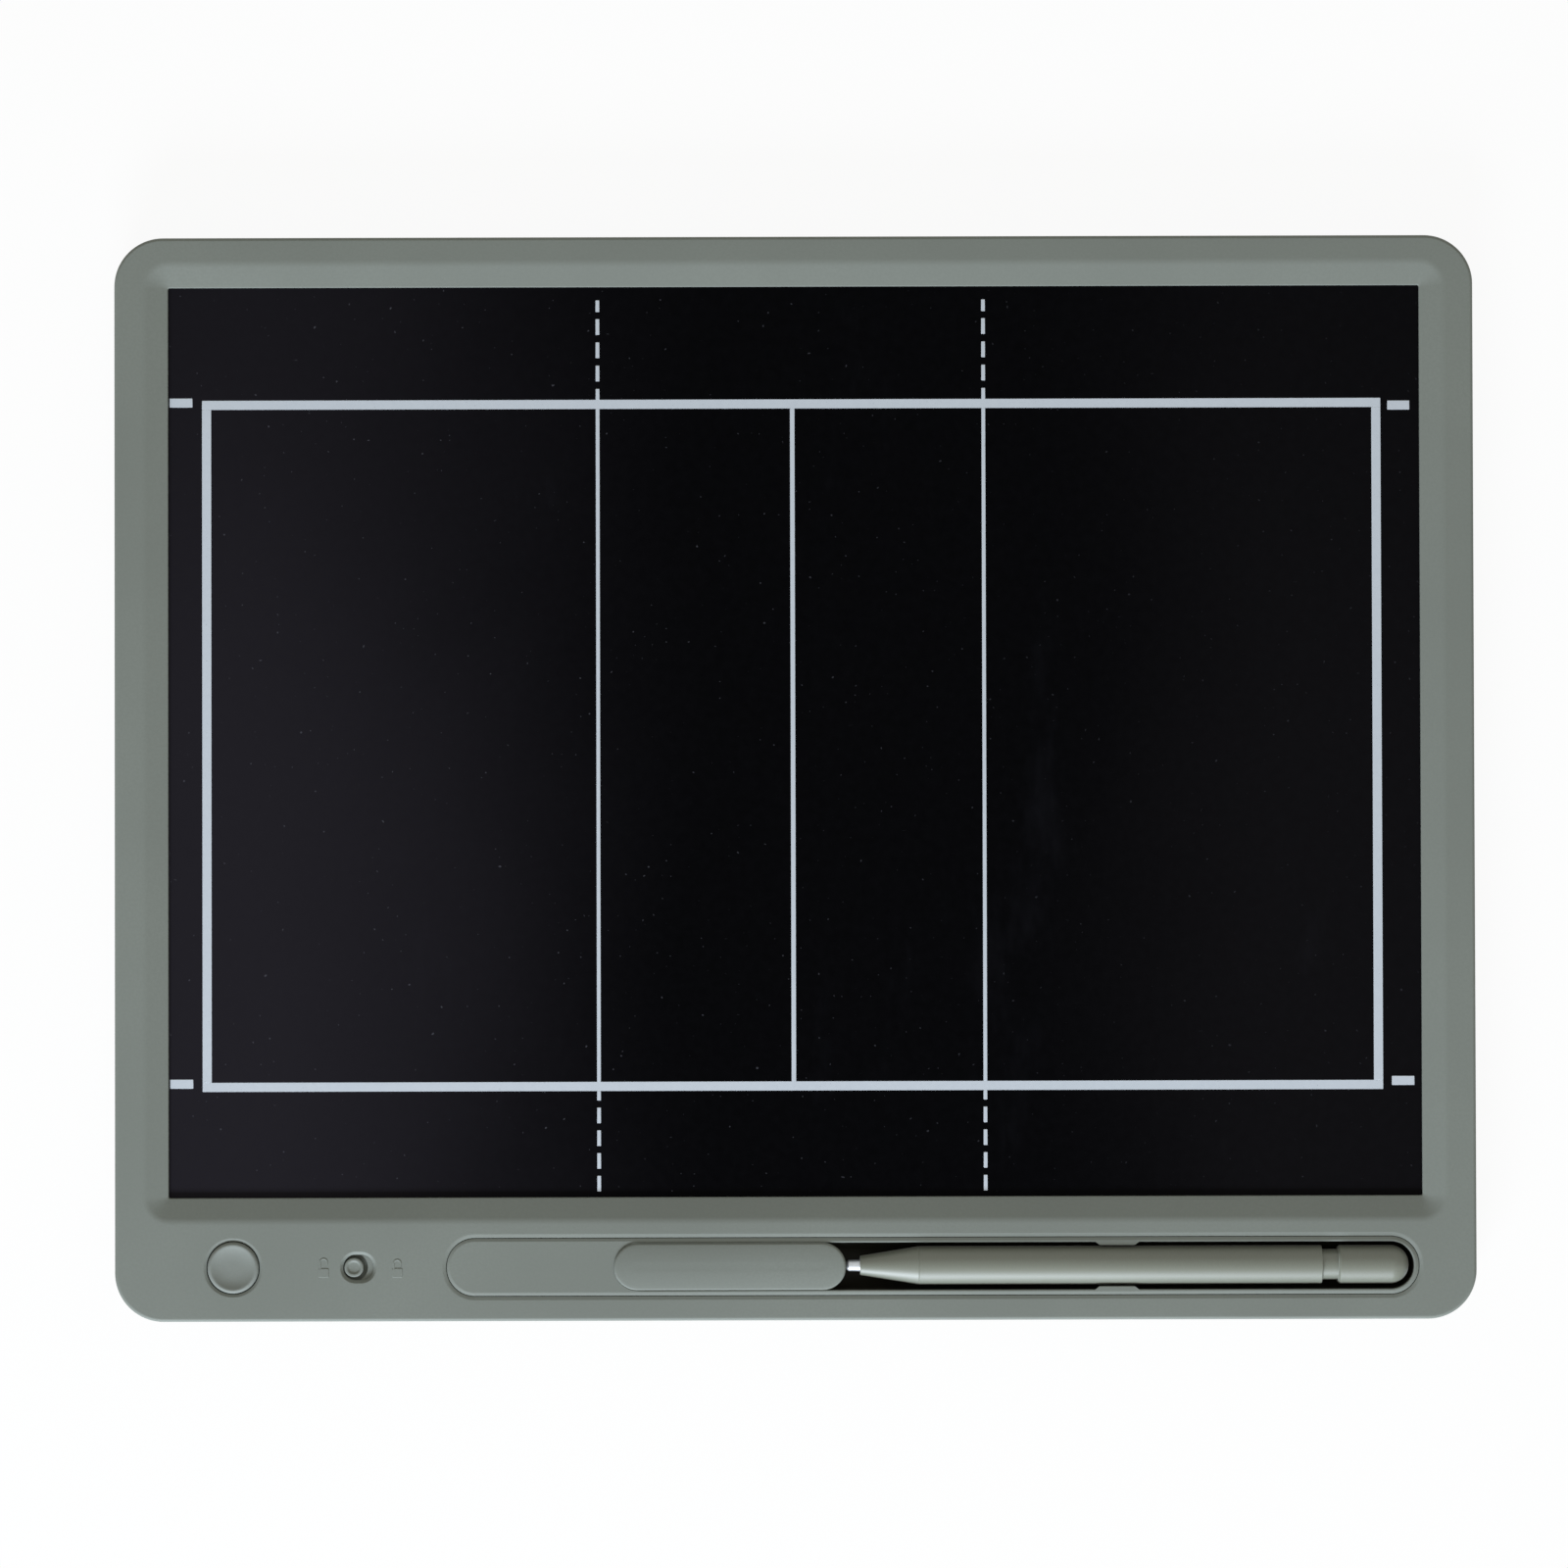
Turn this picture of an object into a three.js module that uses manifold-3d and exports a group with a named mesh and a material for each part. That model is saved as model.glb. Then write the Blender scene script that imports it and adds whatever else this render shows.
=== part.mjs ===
// An LCD writing board printed with a game court, lying on its back.
// Millimetres, +Z up and out of the screen, +X to the right, +Y to the top edge.
// The origin is the middle of the outline, on the plane that the feet stand on.
import * as THREE from 'three';
import { mergeVertices } from 'three/addons/utils/BufferGeometryUtils.js';
import Module from 'manifold-3d';

const wasm = await Module();
wasm.setup();

// Board outline and layers.
const boardLength = 335;
const boardHeight = 267;
const boardThickness = 10.4;
const cornerRadius = 12;
const frontRound = 1.6;
const rearRound = 2.4;
const rearWall = 1.6;
const bezelWall = 2.2;
const skirtWall = 1.8;
const rearSkirtHeight = 4.05;
const seamGap = 0.3;
const lipHeight = 0.95;
const lipWall = 0.8;
const fitGap = 0.3;
const rootDepth = 0.4;

// Screen window and the slope that leads down to it.
const sideBorder = 13.1;
const topBorder = 12.2;
const bottomBorder = 30.3;
const slopeWidth = 5.7;
const slopeDrop = 1.2;
const windowRadius = 0.4;

// Screen stack, from the bezel's underside towards the back.
const tapeThickness = 0.2;
const tapeWidth = 2;
const panelThickness = 0.9;
const backingThickness = 1.2;
const backingCorner = 1;
const panelLap = 3;
const panelLedge = 4;
const flexLedge = 1.8;
const panelRib = 1.2;
const panelRibHeight = 0.8;

// Control strip under the screen: places from the left, right and bottom edges.
const stripInset = 13.3;
const buttonInset = 29.1;
const lockInset = 59.9;
const trayLeftInset = 80.6;
const trayRightInset = 13.2;

// Erase button and its switch.
const buttonRadius = 6.05;
const buttonWellFlare = 0.5;
const buttonProud = 0.3;
const buttonTravel = 0.6;
const buttonDish = 0.65;
const buttonRim = 1;
const buttonEdge = 0.4;
const buttonFlange = 0.95;
const buttonFlangeThickness = 0.8;
const buttonHubRadius = 2.2;
const guideWall = 1.5;
const guideHeight = 0.5;
const plungerRadius = 1.75;
const tactSize = 6;
const tactHeight = 2.2;

// Lock switch: knob on a sliding plate, over a switch with a lever.
const lockHoleLength = 7.6;
const lockHoleWidth = 6.4;
const lockHoleFlare = 0.6;
const lockKnobRadius = 2.35;
const lockKnobSunk = 0.3;
const lockKnobDish = 0.35;
const lockKnobRim = 0.5;
const lockKnobEdge = 0.3;
const lockTravel = 2.2;
const lockPlateLength = 14;
const lockPlateWidth = 9;
const lockPlateThickness = 1;
const lockPlateDrop = 0.2;
const lockPlateRadius = 1;
const lockRailWall = 1;
const leverSize = 1.3;
const slideSwitchLength = 8.5;
const slideSwitchWidth = 3.8;
const slideSwitchHeight = 2.6;

// Pen tray, set into the bezel behind a V groove.
const trayWidth = 16.2;
const grooveFlare = 0.75;
const trayChamfer = 0.85;
const trayFlange = 2.4;
const trayFlangeThickness = 1.5;
const trayFloor = 1;
const trayLift = 0.2;
const trayWallBelow = 1.4;
const plateauWall = 1.6;
const plateauPitch = 11;
const plateauRib = 1.2;
const postRadius = 2.4;
const troughRadius = 5.85;
const troughFillet = 4;
const troughLeftFromSlider = 0.9;
const lipBase = 11;
const lipTip = 8.6;
const lipFromRight = 75.25;
const lipDepth = 2.4;

// Pen slider, which closes the finger end of the trough.
const sliderLength = 56.8;
const sliderWidth = 11;
const sliderThickness = 0.9;
const sliderRound = 0.7;
const sliderCrown = 0.3;
const sliderLift = 0.15;
const sliderTravel = 38;
const runnerLength = 10;
const runnerInset = 1.9;
const runnerHeight = 1.6;
const runnerTongue = 0.8;
const tongueHeight = 0.8;
const tongueLength = 8;
const runnerDrop = 3.4;
const legRadius = 1.2;
const legSpacing = 4.6;

// Pen.
const penRadius = 4.72;
const penTipGap = 0.35;
const nibLength = 3.4;
const nibFlatRadius = 0.95;
const nibRoundLength = 0.55;
const nibTipRadius = 1.4;
const nibRootRadius = 1.55;
const coneLength = 14.5;
const coneTipRadius = 2.35;
const barrelLength = 99.1;
const neckLength = 4;
const neckRadius = 3.75;
const capLength = 17.5;
const capEndRound = 4.3;
const capChamfer = 0.5;
const penWall = 1.1;
const spigotLength = 6;

// Circuit board and what stands on it.
const boardInset = 13.5;
const pcbPastLock = 9.1;
const pcbTop = 23.1;
const pcbBottom = 3.5;
const pcbThickness = 1;
const pcbCorner = 1;
const pcbStand = 0.8;
const pcbScrewInset = 3;
const pcbScrewRadius = 0.8;
const pcbScrewHead = 1.7;
const pcbScrewHeadHeight = 0.8;
const standoffRadius = 2.25;
const chipSize = 6;
const chipHeight = 1.2;
const chipShift = 1;
const coilRadius = 2.6;
const coilHeight = 2.4;
const coilShift = -4;
const capacitorRadius = 2;
const capacitorHeight = 3;
const capacitorShift = 3;
const passiveInset = 4.4;
const tailWidth = 12;
const tailThickness = 0.25;
const tailBend = 0.6;
const connectorDepth = 3;
const connectorHeight = 1.6;
const connectorWall = 1;
const tailInsert = 1.5;

// Coin cell, its contacts and its door in the rear cover.
const cellRadius = 10;
const cellHeight = 3.2;
const cellEdge = 0.4;
const cellRim = 1.2;
const cellStep = 0.3;
const cellInset = 67.5;
const cellFromBottom = 41.5;
const cellWellWall = 1.5;
const contactWidth = 3;
const contactThickness = 0.3;
const contactTouch = 0.1;
const contactFoot = 1.6;
const contactFootInset = 0.8;
const contactRamp = 1.4;
const contactReach = 3;
const contactShelf = 1.2;
const contactHook = 0.4;
const negativeOffset = -2;
const positiveOffset = -8;
const doorLength = 35;
const doorWidth = 25.4;
const doorRadius = 3;
const doorThickness = 1.4;
const doorPadWall = 1.2;
const doorPadMargin = 1.5;
const doorCellMargin = 13.5;
const doorScrewInset = 4;
const doorScrewRadius = 1;
const doorScrewHead = 2;
const doorScrewSeat = 0.84;
const doorScrewSunk = 0.1;
const doorScrewShort = 0.6;
const thumbInset = 4;
const thumbLength = 4;
const thumbWidth = 3.6;
const thumbDepth = 0.6;

// Housing screws, bosses, ribs and feet.
const screwRadius = 1.1;
const screwHeadRadius = 2.2;
const screwHeadHeight = 1.4;
const screwEngage = 3.2;
const screwEdge = 0.3;
const screwPoint = 0.4;
const bossRadius = 2.8;
const rearBossRadius = 3.5;
const counterboreDepth = 2.4;
const cornerScrewInsetX = 7.2;
const cornerScrewInsetY = 6.7;
const edgeScrewInset = 5.7;
const ribWall = 1.2;
const ribColumns = 5;
const ribRows = 3;
const ribPitch = 50;
const ribGap = 0.1;
const footRadius = 6;
const footSeat = 0.8;
const footStand = 1;
const footEdge = 0.8;
const footInsetX = 19.5;
const footInsetY = 29.5;

// Levels, from the resting plane up.
const rearFace = footStand;
const rearInner = rearFace + rearWall;
const rearRim = rearFace + rearSkirtHeight;
const frontFace = rearFace + boardThickness;
const bezelUnder = frontFace - bezelWall;
const bezelRim = rearRim + seamGap;
const panelTop = bezelUnder - tapeThickness;
const panelUnder = panelTop - panelThickness;
const backingUnder = panelUnder - backingThickness;
const pcbUnder = rearInner + pcbStand;
const pcbFace = pcbUnder + pcbThickness;
const trayUnder = rearInner + trayLift;
const troughFloor = trayUnder + trayFloor;
const penAxis = troughFloor + fitGap + penRadius;
const doorTop = rearFace + doorThickness;
const doorSeat = doorTop + seamGap;
const padTop = doorSeat + doorPadWall;
const cellUnder = doorTop + fitGap;
const cellTop = cellUnder + cellHeight;

// Places in plan.
const left = -boardLength / 2;
const right = boardLength / 2;
const bottom = -boardHeight / 2;
const top = boardHeight / 2;
const windowLeft = left + sideBorder;
const windowRight = right - sideBorder;
const windowTop = top - topBorder;
const windowBottom = bottom + bottomBorder;
const panelLeft = windowLeft - panelLap;
const panelRight = windowRight + panelLap;
const panelHigh = windowTop + panelLap;
const panelLow = windowBottom - panelLedge;
const stripY = bottom + stripInset;
const buttonX = left + buttonInset;
const lockX = left + lockInset;
const knobX = lockX - lockTravel / 2;
const trayLeft = left + trayLeftInset;
const trayRight = right - trayRightInset;
const grooveInset = grooveFlare + fitGap;
const neckHalf = trayWidth / 2 - grooveInset;
const neckLeft = trayLeft + grooveInset;
const neckRight = trayRight - grooveInset;
const troughRight = neckRight - neckHalf + troughRadius;
const penLength = nibLength + coneLength + barrelLength + neckLength + capLength;
const penTip = troughRight - (troughRadius - penRadius) - penLength;
const sliderRight = penTip - penTipGap;
const sliderLeft = sliderRight - sliderLength;
const troughLeft = sliderLeft + troughLeftFromSlider;
const runnerRight = sliderRight - runnerInset;
const plateauLeft = neckLeft + neckHalf;
const plateauRight = troughLeft - trayWallBelow;
const cellX = left + cellInset;
const cellY = bottom + cellFromBottom;
const doorLeft = cellX - doorCellMargin;
const doorScrewX = doorLeft + doorLength - doorScrewInset;
const pcbLeft = left + boardInset;
const pcbRight = lockX + pcbPastLock;
const pcbHigh = bottom + pcbTop;
const pcbLow = bottom + pcbBottom;
const chipX = (buttonX + lockX) / 2;
const connectorMouth = pcbHigh - connectorDepth / 2;
const tailLanding = pcbFace + connectorHeight / 2 - tailThickness / 2;
const overshoot = 2;

// A closed mesh as a solid that can be joined and cut.
function solidOf(geometry) {
  geometry.deleteAttribute('normal');
  geometry.deleteAttribute('uv');
  const merged = mergeVertices(geometry, 1e-5);
  const vertProperties = new Float32Array(merged.attributes.position.array);
  const index = merged.index.array;
  const triangles = [];
  for (let i = 0; i < index.length; i += 3) {
    const [a, b, c] = [index[i], index[i + 1], index[i + 2]];
    if (a !== b && b !== c && c !== a) triangles.push(a, b, c);
  }
  const triVerts = new Uint32Array(triangles);
  return new wasm.Manifold(new wasm.Mesh({ numProp: 3, vertProperties, triVerts }));
}

function joined(first, ...others) {
  return others.reduce((whole, piece) => whole.add(piece), first);
}

function cut(first, ...others) {
  return others.reduce((whole, piece) => whole.subtract(piece), first);
}

// Plan outlines.
function roundedRect(x0, x1, y0, y1, radius) {
  const shape = new THREE.Shape();
  shape.absarc(x1 - radius, y0 + radius, radius, -Math.PI / 2, 0);
  shape.absarc(x1 - radius, y1 - radius, radius, 0, Math.PI / 2);
  shape.absarc(x0 + radius, y1 - radius, radius, Math.PI / 2, Math.PI);
  shape.absarc(x0 + radius, y0 + radius, radius, Math.PI, Math.PI * 1.5);
  return shape;
}

function boardOutline(inset) {
  return roundedRect(left + inset, right - inset, bottom + inset, top - inset, cornerRadius - inset);
}

function stadium(x0, x1, y, half) {
  return roundedRect(x0, x1, y - half, y + half, half);
}

function trayOutline(inset) {
  return stadium(trayLeft + inset, trayRight - inset, stripY, trayWidth / 2 - inset);
}

function polygon(points) {
  return new THREE.Shape(points.map(([x, y]) => new THREE.Vector2(x, y)));
}

// A plate of an outline between two levels, with its edges rounded or chamfered on both faces.
function plate(shape, low, high, { round = 0, steps = 1, curve = 4 } = {}) {
  const geometry = new THREE.ExtrudeGeometry(shape, {
    depth: high - low - 2 * round,
    bevelEnabled: round > 0,
    bevelThickness: round,
    bevelSize: round,
    bevelOffset: -round,
    bevelSegments: steps,
    curveSegments: curve,
  });
  geometry.translate(0, 0, low + round);
  return solidOf(geometry);
}

// A cutter that keeps its outline below a level and widens above it.
function flare(shape, level, height, spread, curve = 4) {
  const geometry = new THREE.ExtrudeGeometry(shape, {
    depth: overshoot,
    bevelThickness: height,
    bevelSize: spread,
    bevelSegments: 1,
    curveSegments: curve,
  });
  geometry.translate(0, 0, level + height);
  return solidOf(geometry);
}

function block(x0, x1, y0, y1, z0, z1) {
  const geometry = new THREE.BoxGeometry(x1 - x0, y1 - y0, z1 - z0);
  geometry.translate((x0 + x1) / 2, (y0 + y1) / 2, (z0 + z1) / 2);
  return solidOf(geometry);
}

function rod(x, y, radius, z0, z1, sides = 16) {
  const geometry = new THREE.CylinderGeometry(radius, radius, z1 - z0, sides);
  geometry.rotateX(Math.PI / 2);
  geometry.translate(x, y, (z0 + z1) / 2);
  return solidOf(geometry);
}

// A profile of [radius, height] pairs, from axis to axis going up, turned about a vertical line.
function turned(profile, x, y, sides = 20) {
  const points = profile.map(([radius, height]) => new THREE.Vector2(radius, height));
  const geometry = new THREE.LatheGeometry(points, sides);
  geometry.rotateX(Math.PI / 2);
  geometry.translate(x, y, 0);
  return solidOf(geometry);
}

// A profile of [radius, distance] pairs turned about the pen's own axis.
function turnedAlongPen(profile, sides = 24) {
  const points = profile.map(([radius, distance]) => new THREE.Vector2(radius, distance));
  const geometry = new THREE.LatheGeometry(points, sides);
  geometry.rotateZ(-Math.PI / 2);
  geometry.translate(0, stripY, penAxis);
  return solidOf(geometry);
}

// An outline drawn in the Y-Z plane, drawn out along X.
function drawnAlongX(shape, x0, x1, curve = 4) {
  const geometry = new THREE.ExtrudeGeometry(shape, {
    depth: x1 - x0,
    bevelEnabled: false,
    curveSegments: curve,
  });
  const turn = new THREE.Matrix4().makeBasis(
    new THREE.Vector3(0, 1, 0),
    new THREE.Vector3(0, 0, 1),
    new THREE.Vector3(1, 0, 0),
  );
  geometry.applyMatrix4(turn);
  geometry.translate(x0, 0, 0);
  return solidOf(geometry);
}

// A strip of sheet that follows [y, z] points, which lie on its right-hand face.
function bentStrip(path, thickness, x0, x1) {
  const other = path.map(([y, z], i) => {
    const [y0, z0] = path[Math.max(i - 1, 0)];
    const [y1, z1] = path[Math.min(i + 1, path.length - 1)];
    const length = Math.hypot(y1 - y0, z1 - z0);
    return [y - (thickness * (z1 - z0)) / length, z + (thickness * (y1 - y0)) / length];
  });
  return drawnAlongX(polygon([...path, ...other.reverse()]), x0, x1);
}

// Finishes of the pieces.
const finishes = {
  shell: { color: 0x80867f, roughness: 0.55, metalness: 0 },
  screen: { color: 0x0c0c0e, roughness: 0.3, metalness: 0 },
  board: { color: 0x1f5a3a, roughness: 0.6, metalness: 0 },
  backing: { color: 0x2a2b2c, roughness: 0.8, metalness: 0 },
  black: { color: 0x18191a, roughness: 0.5, metalness: 0 },
  rubber: { color: 0x2c2d2d, roughness: 0.9, metalness: 0 },
  steel: { color: 0xb9bcbd, roughness: 0.35, metalness: 1 },
  brass: { color: 0xc8a45a, roughness: 0.35, metalness: 1 },
  amber: { color: 0xb5762c, roughness: 0.4, metalness: 0 },
  pen: { color: 0x7f857c, roughness: 0.35, metalness: 0.3 },
};

const group = new THREE.Group();

function addPiece(name, solid, finish) {
  const { vertProperties, triVerts } = solid.getMesh();
  const geometry = new THREE.BufferGeometry();
  geometry.setAttribute('position', new THREE.BufferAttribute(new Float32Array(vertProperties), 3));
  geometry.setIndex(new THREE.BufferAttribute(new Uint32Array(triVerts), 1));
  geometry.computeVertexNormals();
  const mesh = new THREE.Mesh(geometry, new THREE.MeshStandardMaterial(finishes[finish]));
  mesh.name = name;
  group.add(mesh);
}

// Screw places: four corners, the middle of three edges, and the strip beside the tray.
const screwPlaces = [
  [left + cornerScrewInsetX, bottom + cornerScrewInsetY],
  [right - cornerScrewInsetX, bottom + cornerScrewInsetY],
  [right - cornerScrewInsetX, top - cornerScrewInsetY],
  [left + cornerScrewInsetX, top - cornerScrewInsetY],
  [left + edgeScrewInset, 0],
  [right - edgeScrewInset, 0],
  [0, top - edgeScrewInset],
  [(pcbRight + trayLeft) / 2 - trayFlange / 2, stripY],
];

const footPlaces = [
  [left + footInsetX, bottom + footInsetY],
  [right - footInsetX, bottom + footInsetY],
  [right - footInsetX, top - footInsetX],
  [left + footInsetX, top - footInsetX],
];

const pcbScrewPlaces = [
  [pcbLeft + pcbScrewInset, pcbHigh - pcbScrewInset],
  [pcbRight - pcbScrewInset, pcbLow + pcbScrewInset],
];

const standHeight = pcbUnder - rearInner;

// The upper shell: a rounded outline with a skirt, and a slope down to the window.
function bezelShell() {
  const outer = plate(boardOutline(0), rearFace, frontFace, { round: frontRound, steps: 4 });
  const below = block(left - overshoot, right + overshoot, bottom - overshoot, top + overshoot,
    rearFace - overshoot, bezelRim);
  const hollow = plate(boardOutline(skirtWall), rearFace, bezelUnder);
  const lipRoom = plate(boardOutline(skirtWall - lipWall - fitGap), rearFace, bezelRim + lipHeight);
  return cut(outer, below, hollow, lipRoom);
}

function windowCut() {
  const frame = roundedRect(windowLeft, windowRight, windowBottom, windowTop, windowRadius);
  const hole = plate(frame, bezelUnder - overshoot, frontFace - slopeDrop + rootDepth, { curve: 1 });
  return joined(hole, flare(frame, frontFace - slopeDrop, slopeDrop, slopeWidth, 3));
}

// A low rib round the screen panel, on the bezel's underside.
function panelFence() {
  const reach = fitGap + panelRib;
  const outside = block(panelLeft - reach, panelRight + reach, panelLow - reach, panelHigh + reach,
    bezelUnder - panelRibHeight, bezelUnder + rootDepth);
  const inside = block(panelLeft - fitGap, panelRight + fitGap, panelLow - fitGap, panelHigh + fitGap,
    bezelUnder - overshoot, bezelUnder);
  return cut(outside, inside);
}

function bezelBosses() {
  return screwPlaces.map(([x, y]) => rod(x, y, bossRadius, bezelRim, bezelUnder + rootDepth));
}

function bezelPilots() {
  return screwPlaces.map(([x, y]) => rod(x, y, screwRadius + fitGap, rearFace, bezelUnder, 12));
}

function buttonGuide() {
  return rod(buttonX, stripY, buttonRadius + fitGap + guideWall, bezelUnder - guideHeight,
    bezelUnder + rootDepth, 32);
}

function buttonWell() {
  const hole = new THREE.Shape().absarc(buttonX, stripY, buttonRadius + fitGap, 0, Math.PI * 2);
  const straight = plate(hole, bezelUnder - overshoot, frontFace, { curve: 16 });
  return joined(straight, flare(hole, frontFace - buttonWellFlare, buttonWellFlare, buttonWellFlare, 16));
}

function lockHole() {
  const hole = stadium(lockX - lockHoleLength / 2, lockX + lockHoleLength / 2, stripY, lockHoleWidth / 2);
  const straight = plate(hole, bezelUnder - overshoot, frontFace);
  return joined(straight, flare(hole, frontFace - lockHoleFlare, lockHoleFlare, lockHoleFlare));
}

// Two rails that the lock's plate slides between.
function lockRails() {
  const reach = lockPlateWidth / 2 + fitGap;
  const halfLength = (lockPlateLength + lockTravel) / 2;
  const low = bezelUnder - lockPlateDrop - lockPlateThickness;
  return [-1, 1].map((side) => {
    const near = stripY + side * reach;
    const far = near + side * lockRailWall;
    return block(lockX - halfLength, lockX + halfLength, Math.min(near, far), Math.max(near, far),
      low, bezelUnder + rootDepth);
  });
}

function trayOpening() {
  const throat = trayOutline(grooveFlare);
  const straight = plate(throat, bezelUnder - overshoot, frontFace);
  return joined(straight, flare(throat, frontFace - grooveFlare, grooveFlare, grooveFlare));
}

function frontBezel() {
  const body = joined(bezelShell(), panelFence(), ...bezelBosses(), buttonGuide(), ...lockRails());
  return cut(body, windowCut(), ...bezelPilots(), buttonWell(), lockHole(), trayOpening());
}

// The lower shell: floor, skirt and a lip that sits inside the bezel's skirt.
function rearShell() {
  const outer = plate(boardOutline(0), rearFace, frontFace, { round: rearRound, steps: 3 });
  const above = block(left - overshoot, right + overshoot, bottom - overshoot, top + overshoot,
    rearRim, frontFace + overshoot);
  const lip = plate(boardOutline(skirtWall - lipWall), rearInner - rootDepth, rearRim + lipHeight);
  const hollow = plate(boardOutline(skirtWall), rearInner, frontFace);
  return cut(joined(cut(outer, above), lip), hollow);
}

// A lattice of ribs that carries the screen's backing, as a plate with square cells cut out.
function rearRibs() {
  const midY = (panelLow + panelHigh) / 2;
  const startX = -(ribPitch * ribColumns) / 2;
  const startY = midY - (ribPitch * ribRows) / 2;
  const half = ribWall / 2;
  const lattice = roundedRect(startX - half, -startX + half, startY - half,
    startY + ribPitch * ribRows + half, half);
  for (let i = 0; i < ribColumns; i += 1) {
    for (let j = 0; j < ribRows; j += 1) {
      const x = startX + i * ribPitch;
      const y = startY + j * ribPitch;
      lattice.holes.push(roundedRect(x + half, x + ribPitch - half, y + half, y + ribPitch - half, half));
    }
  }
  return plate(lattice, rearInner - rootDepth, backingUnder - ribGap, { curve: 1 });
}

function doorOutline(inset) {
  const half = doorWidth / 2 - inset;
  return roundedRect(doorLeft + inset, doorLeft + doorLength - inset, cellY - half, cellY + half,
    doorRadius - inset);
}

// The walled well that holds the coin cell, on a pad that the door closes.
function cellWell() {
  const root = rearInner - rootDepth;
  const pad = plate(doorOutline(-fitGap - doorPadMargin), root, padTop, { curve: 2 });
  const wall = rod(cellX, cellY, cellRadius + fitGap + cellWellWall, root, cellTop + fitGap, 32);
  const boss = rod(doorScrewX, cellY, doorScrewRadius + fitGap + cellWellWall, root, cellTop);
  return joined(pad, wall, boss);
}

function contactSlot(offset) {
  const half = contactWidth / 2 + fitGap;
  const x = cellX + offset;
  return block(x - half, x + half, panelLow, cellY, padTop, frontFace);
}

function cellCuts() {
  return [
    rod(cellX, cellY, cellRadius + fitGap, rearFace, frontFace, 32),
    plate(doorOutline(-fitGap), rearFace - overshoot, doorSeat, { curve: 2 }),
    rod(doorScrewX, cellY, doorScrewRadius + fitGap, rearFace, cellTop + overshoot, 12),
    contactSlot(negativeOffset),
    contactSlot(positiveOffset),
  ];
}

function rearBosses() {
  return screwPlaces.map(([x, y]) => rod(x, y, rearBossRadius, rearInner - rootDepth, rearRim));
}

function screwWells() {
  return screwPlaces.flatMap(([x, y]) => [
    rod(x, y, screwHeadRadius + fitGap, rearFace - overshoot, rearFace + counterboreDepth),
    rod(x, y, screwRadius + fitGap, rearFace, rearRim + overshoot, 12),
  ]);
}

function standoffs() {
  return pcbScrewPlaces.map(([x, y]) => rod(x, y, standoffRadius, rearInner - rootDepth, pcbUnder));
}

function standoffPilots() {
  const low = rearInner - standHeight;
  const high = pcbUnder + overshoot;
  return pcbScrewPlaces.map(([x, y]) => rod(x, y, pcbScrewRadius + fitGap, low, high, 12));
}

function footSeats() {
  return footPlaces.map(([x, y]) =>
    rod(x, y, footRadius + fitGap, rearFace - overshoot, rearFace + footSeat, 24));
}

function rearCover() {
  const body = joined(rearShell(), rearRibs(), cellWell(), ...rearBosses(), ...standoffs());
  return cut(body, ...cellCuts(), ...screwWells(), ...standoffPilots(), ...footSeats());
}

// The tray: a chamfered plateau, a flange under the bezel and a deep trough for the pen.
function trayNeck() {
  const low = bezelUnder - trayFlangeThickness;
  return plate(trayOutline(grooveInset), low, frontFace, { round: trayChamfer });
}

function trayFlangePlate() {
  return plate(trayOutline(grooveInset - trayFlange), bezelUnder - trayFlangeThickness, bezelUnder);
}

function troughBody() {
  const half = troughRadius + trayWallBelow;
  return plate(stadium(troughLeft - trayWallBelow, troughRight + trayWallBelow, stripY, half),
    trayUnder, bezelUnder);
}

function troughCut() {
  const high = frontFace + overshoot + troughFillet;
  return plate(stadium(troughLeft, troughRight, stripY, troughRadius), troughFloor, high,
    { round: troughFillet, steps: 4, curve: 5 });
}

// Pockets under the plateau, as many as fit, leave a plate with cross ribs.
function plateauCuts() {
  const low = bezelUnder - trayFlangeThickness - overshoot;
  const half = neckHalf - plateauRib;
  const length = Math.floor((plateauRight - plateauLeft) / plateauPitch);
  return Array.from({ length }, (_, i) => {
    const start = plateauLeft + i * plateauPitch;
    return block(start, start + plateauPitch - plateauRib, stripY - half, stripY + half,
      low, frontFace - plateauWall);
  });
}

function trayPosts() {
  return [plateauLeft, plateauRight].map((x) =>
    rod(x - plateauRib / 2, stripY, postRadius, trayUnder, bezelUnder));
}

function runnerGrooves() {
  const end = runnerRight - (runnerLength - tongueLength) / 2;
  const start = end - tongueLength - sliderTravel;
  const low = frontFace - runnerDrop - tongueHeight - fitGap;
  const high = frontFace - runnerDrop + fitGap;
  const half = troughRadius - fitGap + runnerTongue + fitGap;
  return block(start - fitGap, end + fitGap, stripY - half, stripY + half, low, high);
}

// Two lips that hold the pen down, one on each rim of the trough.
function penLips() {
  const middle = trayRight - lipFromRight;
  const rim = troughRadius + fitGap;
  const tip = penRadius + fitGap;
  return [-1, 1].map((side) => {
    const outline = polygon([
      [middle - lipBase / 2, stripY + side * rim],
      [middle - lipTip / 2, stripY + side * tip],
      [middle + lipTip / 2, stripY + side * tip],
      [middle + lipBase / 2, stripY + side * rim],
    ]);
    return plate(outline, frontFace - lipDepth, frontFace);
  });
}

function penTray() {
  const body = joined(trayNeck(), trayFlangePlate(), troughBody(), ...trayPosts());
  const hollowed = cut(body, troughCut(), ...plateauCuts(), runnerGrooves());
  return joined(hollowed, ...trayPosts(), ...penLips());
}

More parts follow.
